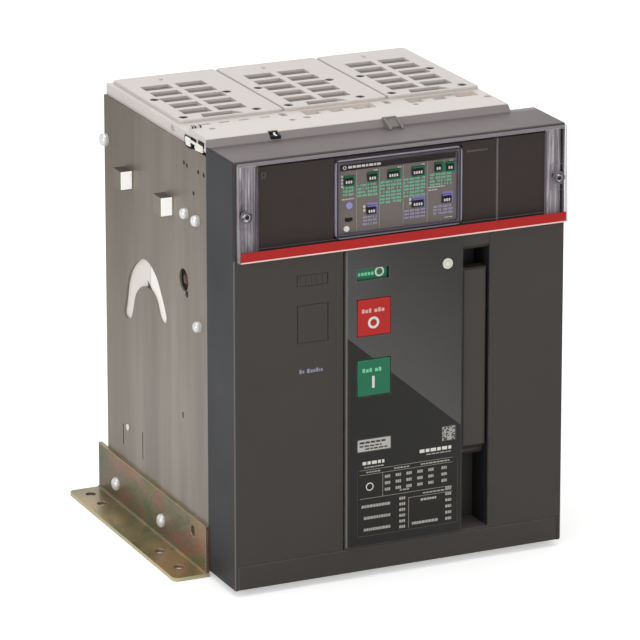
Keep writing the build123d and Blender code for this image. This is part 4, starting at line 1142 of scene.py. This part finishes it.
def studio_world():
    """White, at half strength for lighting and full strength to the camera."""
    lighting, seen = 0.5, 1.0
    world = bpy.data.worlds.new("studio")
    world.use_nodes = True
    tree = world.node_tree
    background = tree.nodes["Background"]
    background.inputs[0].default_value = (1, 1, 1, 1)
    path = tree.nodes.new("ShaderNodeLightPath")
    strength = tree.nodes.new("ShaderNodeMapRange")
    strength.inputs[3].default_value = lighting
    strength.inputs[4].default_value = seen
    tree.links.new(path.outputs["Is Camera Ray"], strength.inputs[0])
    tree.links.new(strength.outputs[0], background.inputs[1])
    SCENE.world = world


def pale_floor():
    """A broad slab that glows a little, to the camera only."""
    mesh = bmesh.new()
    box(mesh, -6, 6, -6, 6, -0.012, 0.0)
    data = bpy.data.meshes.new("floor")
    mesh.to_mesh(data)
    mesh.free()
    floor = add_object("floor", data)
    mat = Material("floor_pale")
    clouds = mat.noise(scale=3, detail=3, rough=0.55)
    paint = mat.ramp(clouds, (0.3, (0.90, 0.90, 0.895, 1)), (0.7, (0.92, 0.92, 0.915, 1)))
    camera_ray = mat.node("ShaderNodeLightPath").outputs["Is Camera Ray"]
    mat.set(Base_Color=paint, Roughness=0.75, Specular_IOR_Level=0.1,
            Emission_Color=(1, 1, 1, 1), Emission_Strength=mat.times(camera_ray, 0.45))
    data.materials.append(mat.data)


def place_camera():
    """A long lens from the front left, above; the shift aims it below its own axis."""
    heading = math.radians(24.1667)
    tilt = math.radians(14.0)
    roll = math.radians(-0.1346)
    data = bpy.data.cameras.new("camera")
    data.sensor_width = 36.0
    data.lens = 257.428125
    data.shift_x = 0.0488
    data.shift_y = -0.43755
    data.clip_start = 0.05
    data.clip_end = 50
    forward = Vector((math.sin(heading) * math.cos(tilt), math.cos(heading) * math.cos(tilt),
                      -math.sin(tilt)))
    right = forward.cross(Vector((0, 0, 1))).normalized()
    down = forward.cross(right)
    cos, sin = math.cos(roll), math.sin(roll)
    rolled_right = cos * right - sin * down
    rolled_down = sin * right + cos * down
    matrix = Matrix((rolled_right, -rolled_down, -forward)).transposed().to_4x4()
    matrix.translation = (-1.4591, -3.2218, 1.2747)
    camera = add_object("camera", data)
    camera.matrix_world = matrix
    SCENE.camera = camera


for row in LIGHTS:
    area_light(*row)
studio_world()
pale_floor()
place_camera()
SCENE.view_settings.view_transform = "Standard"
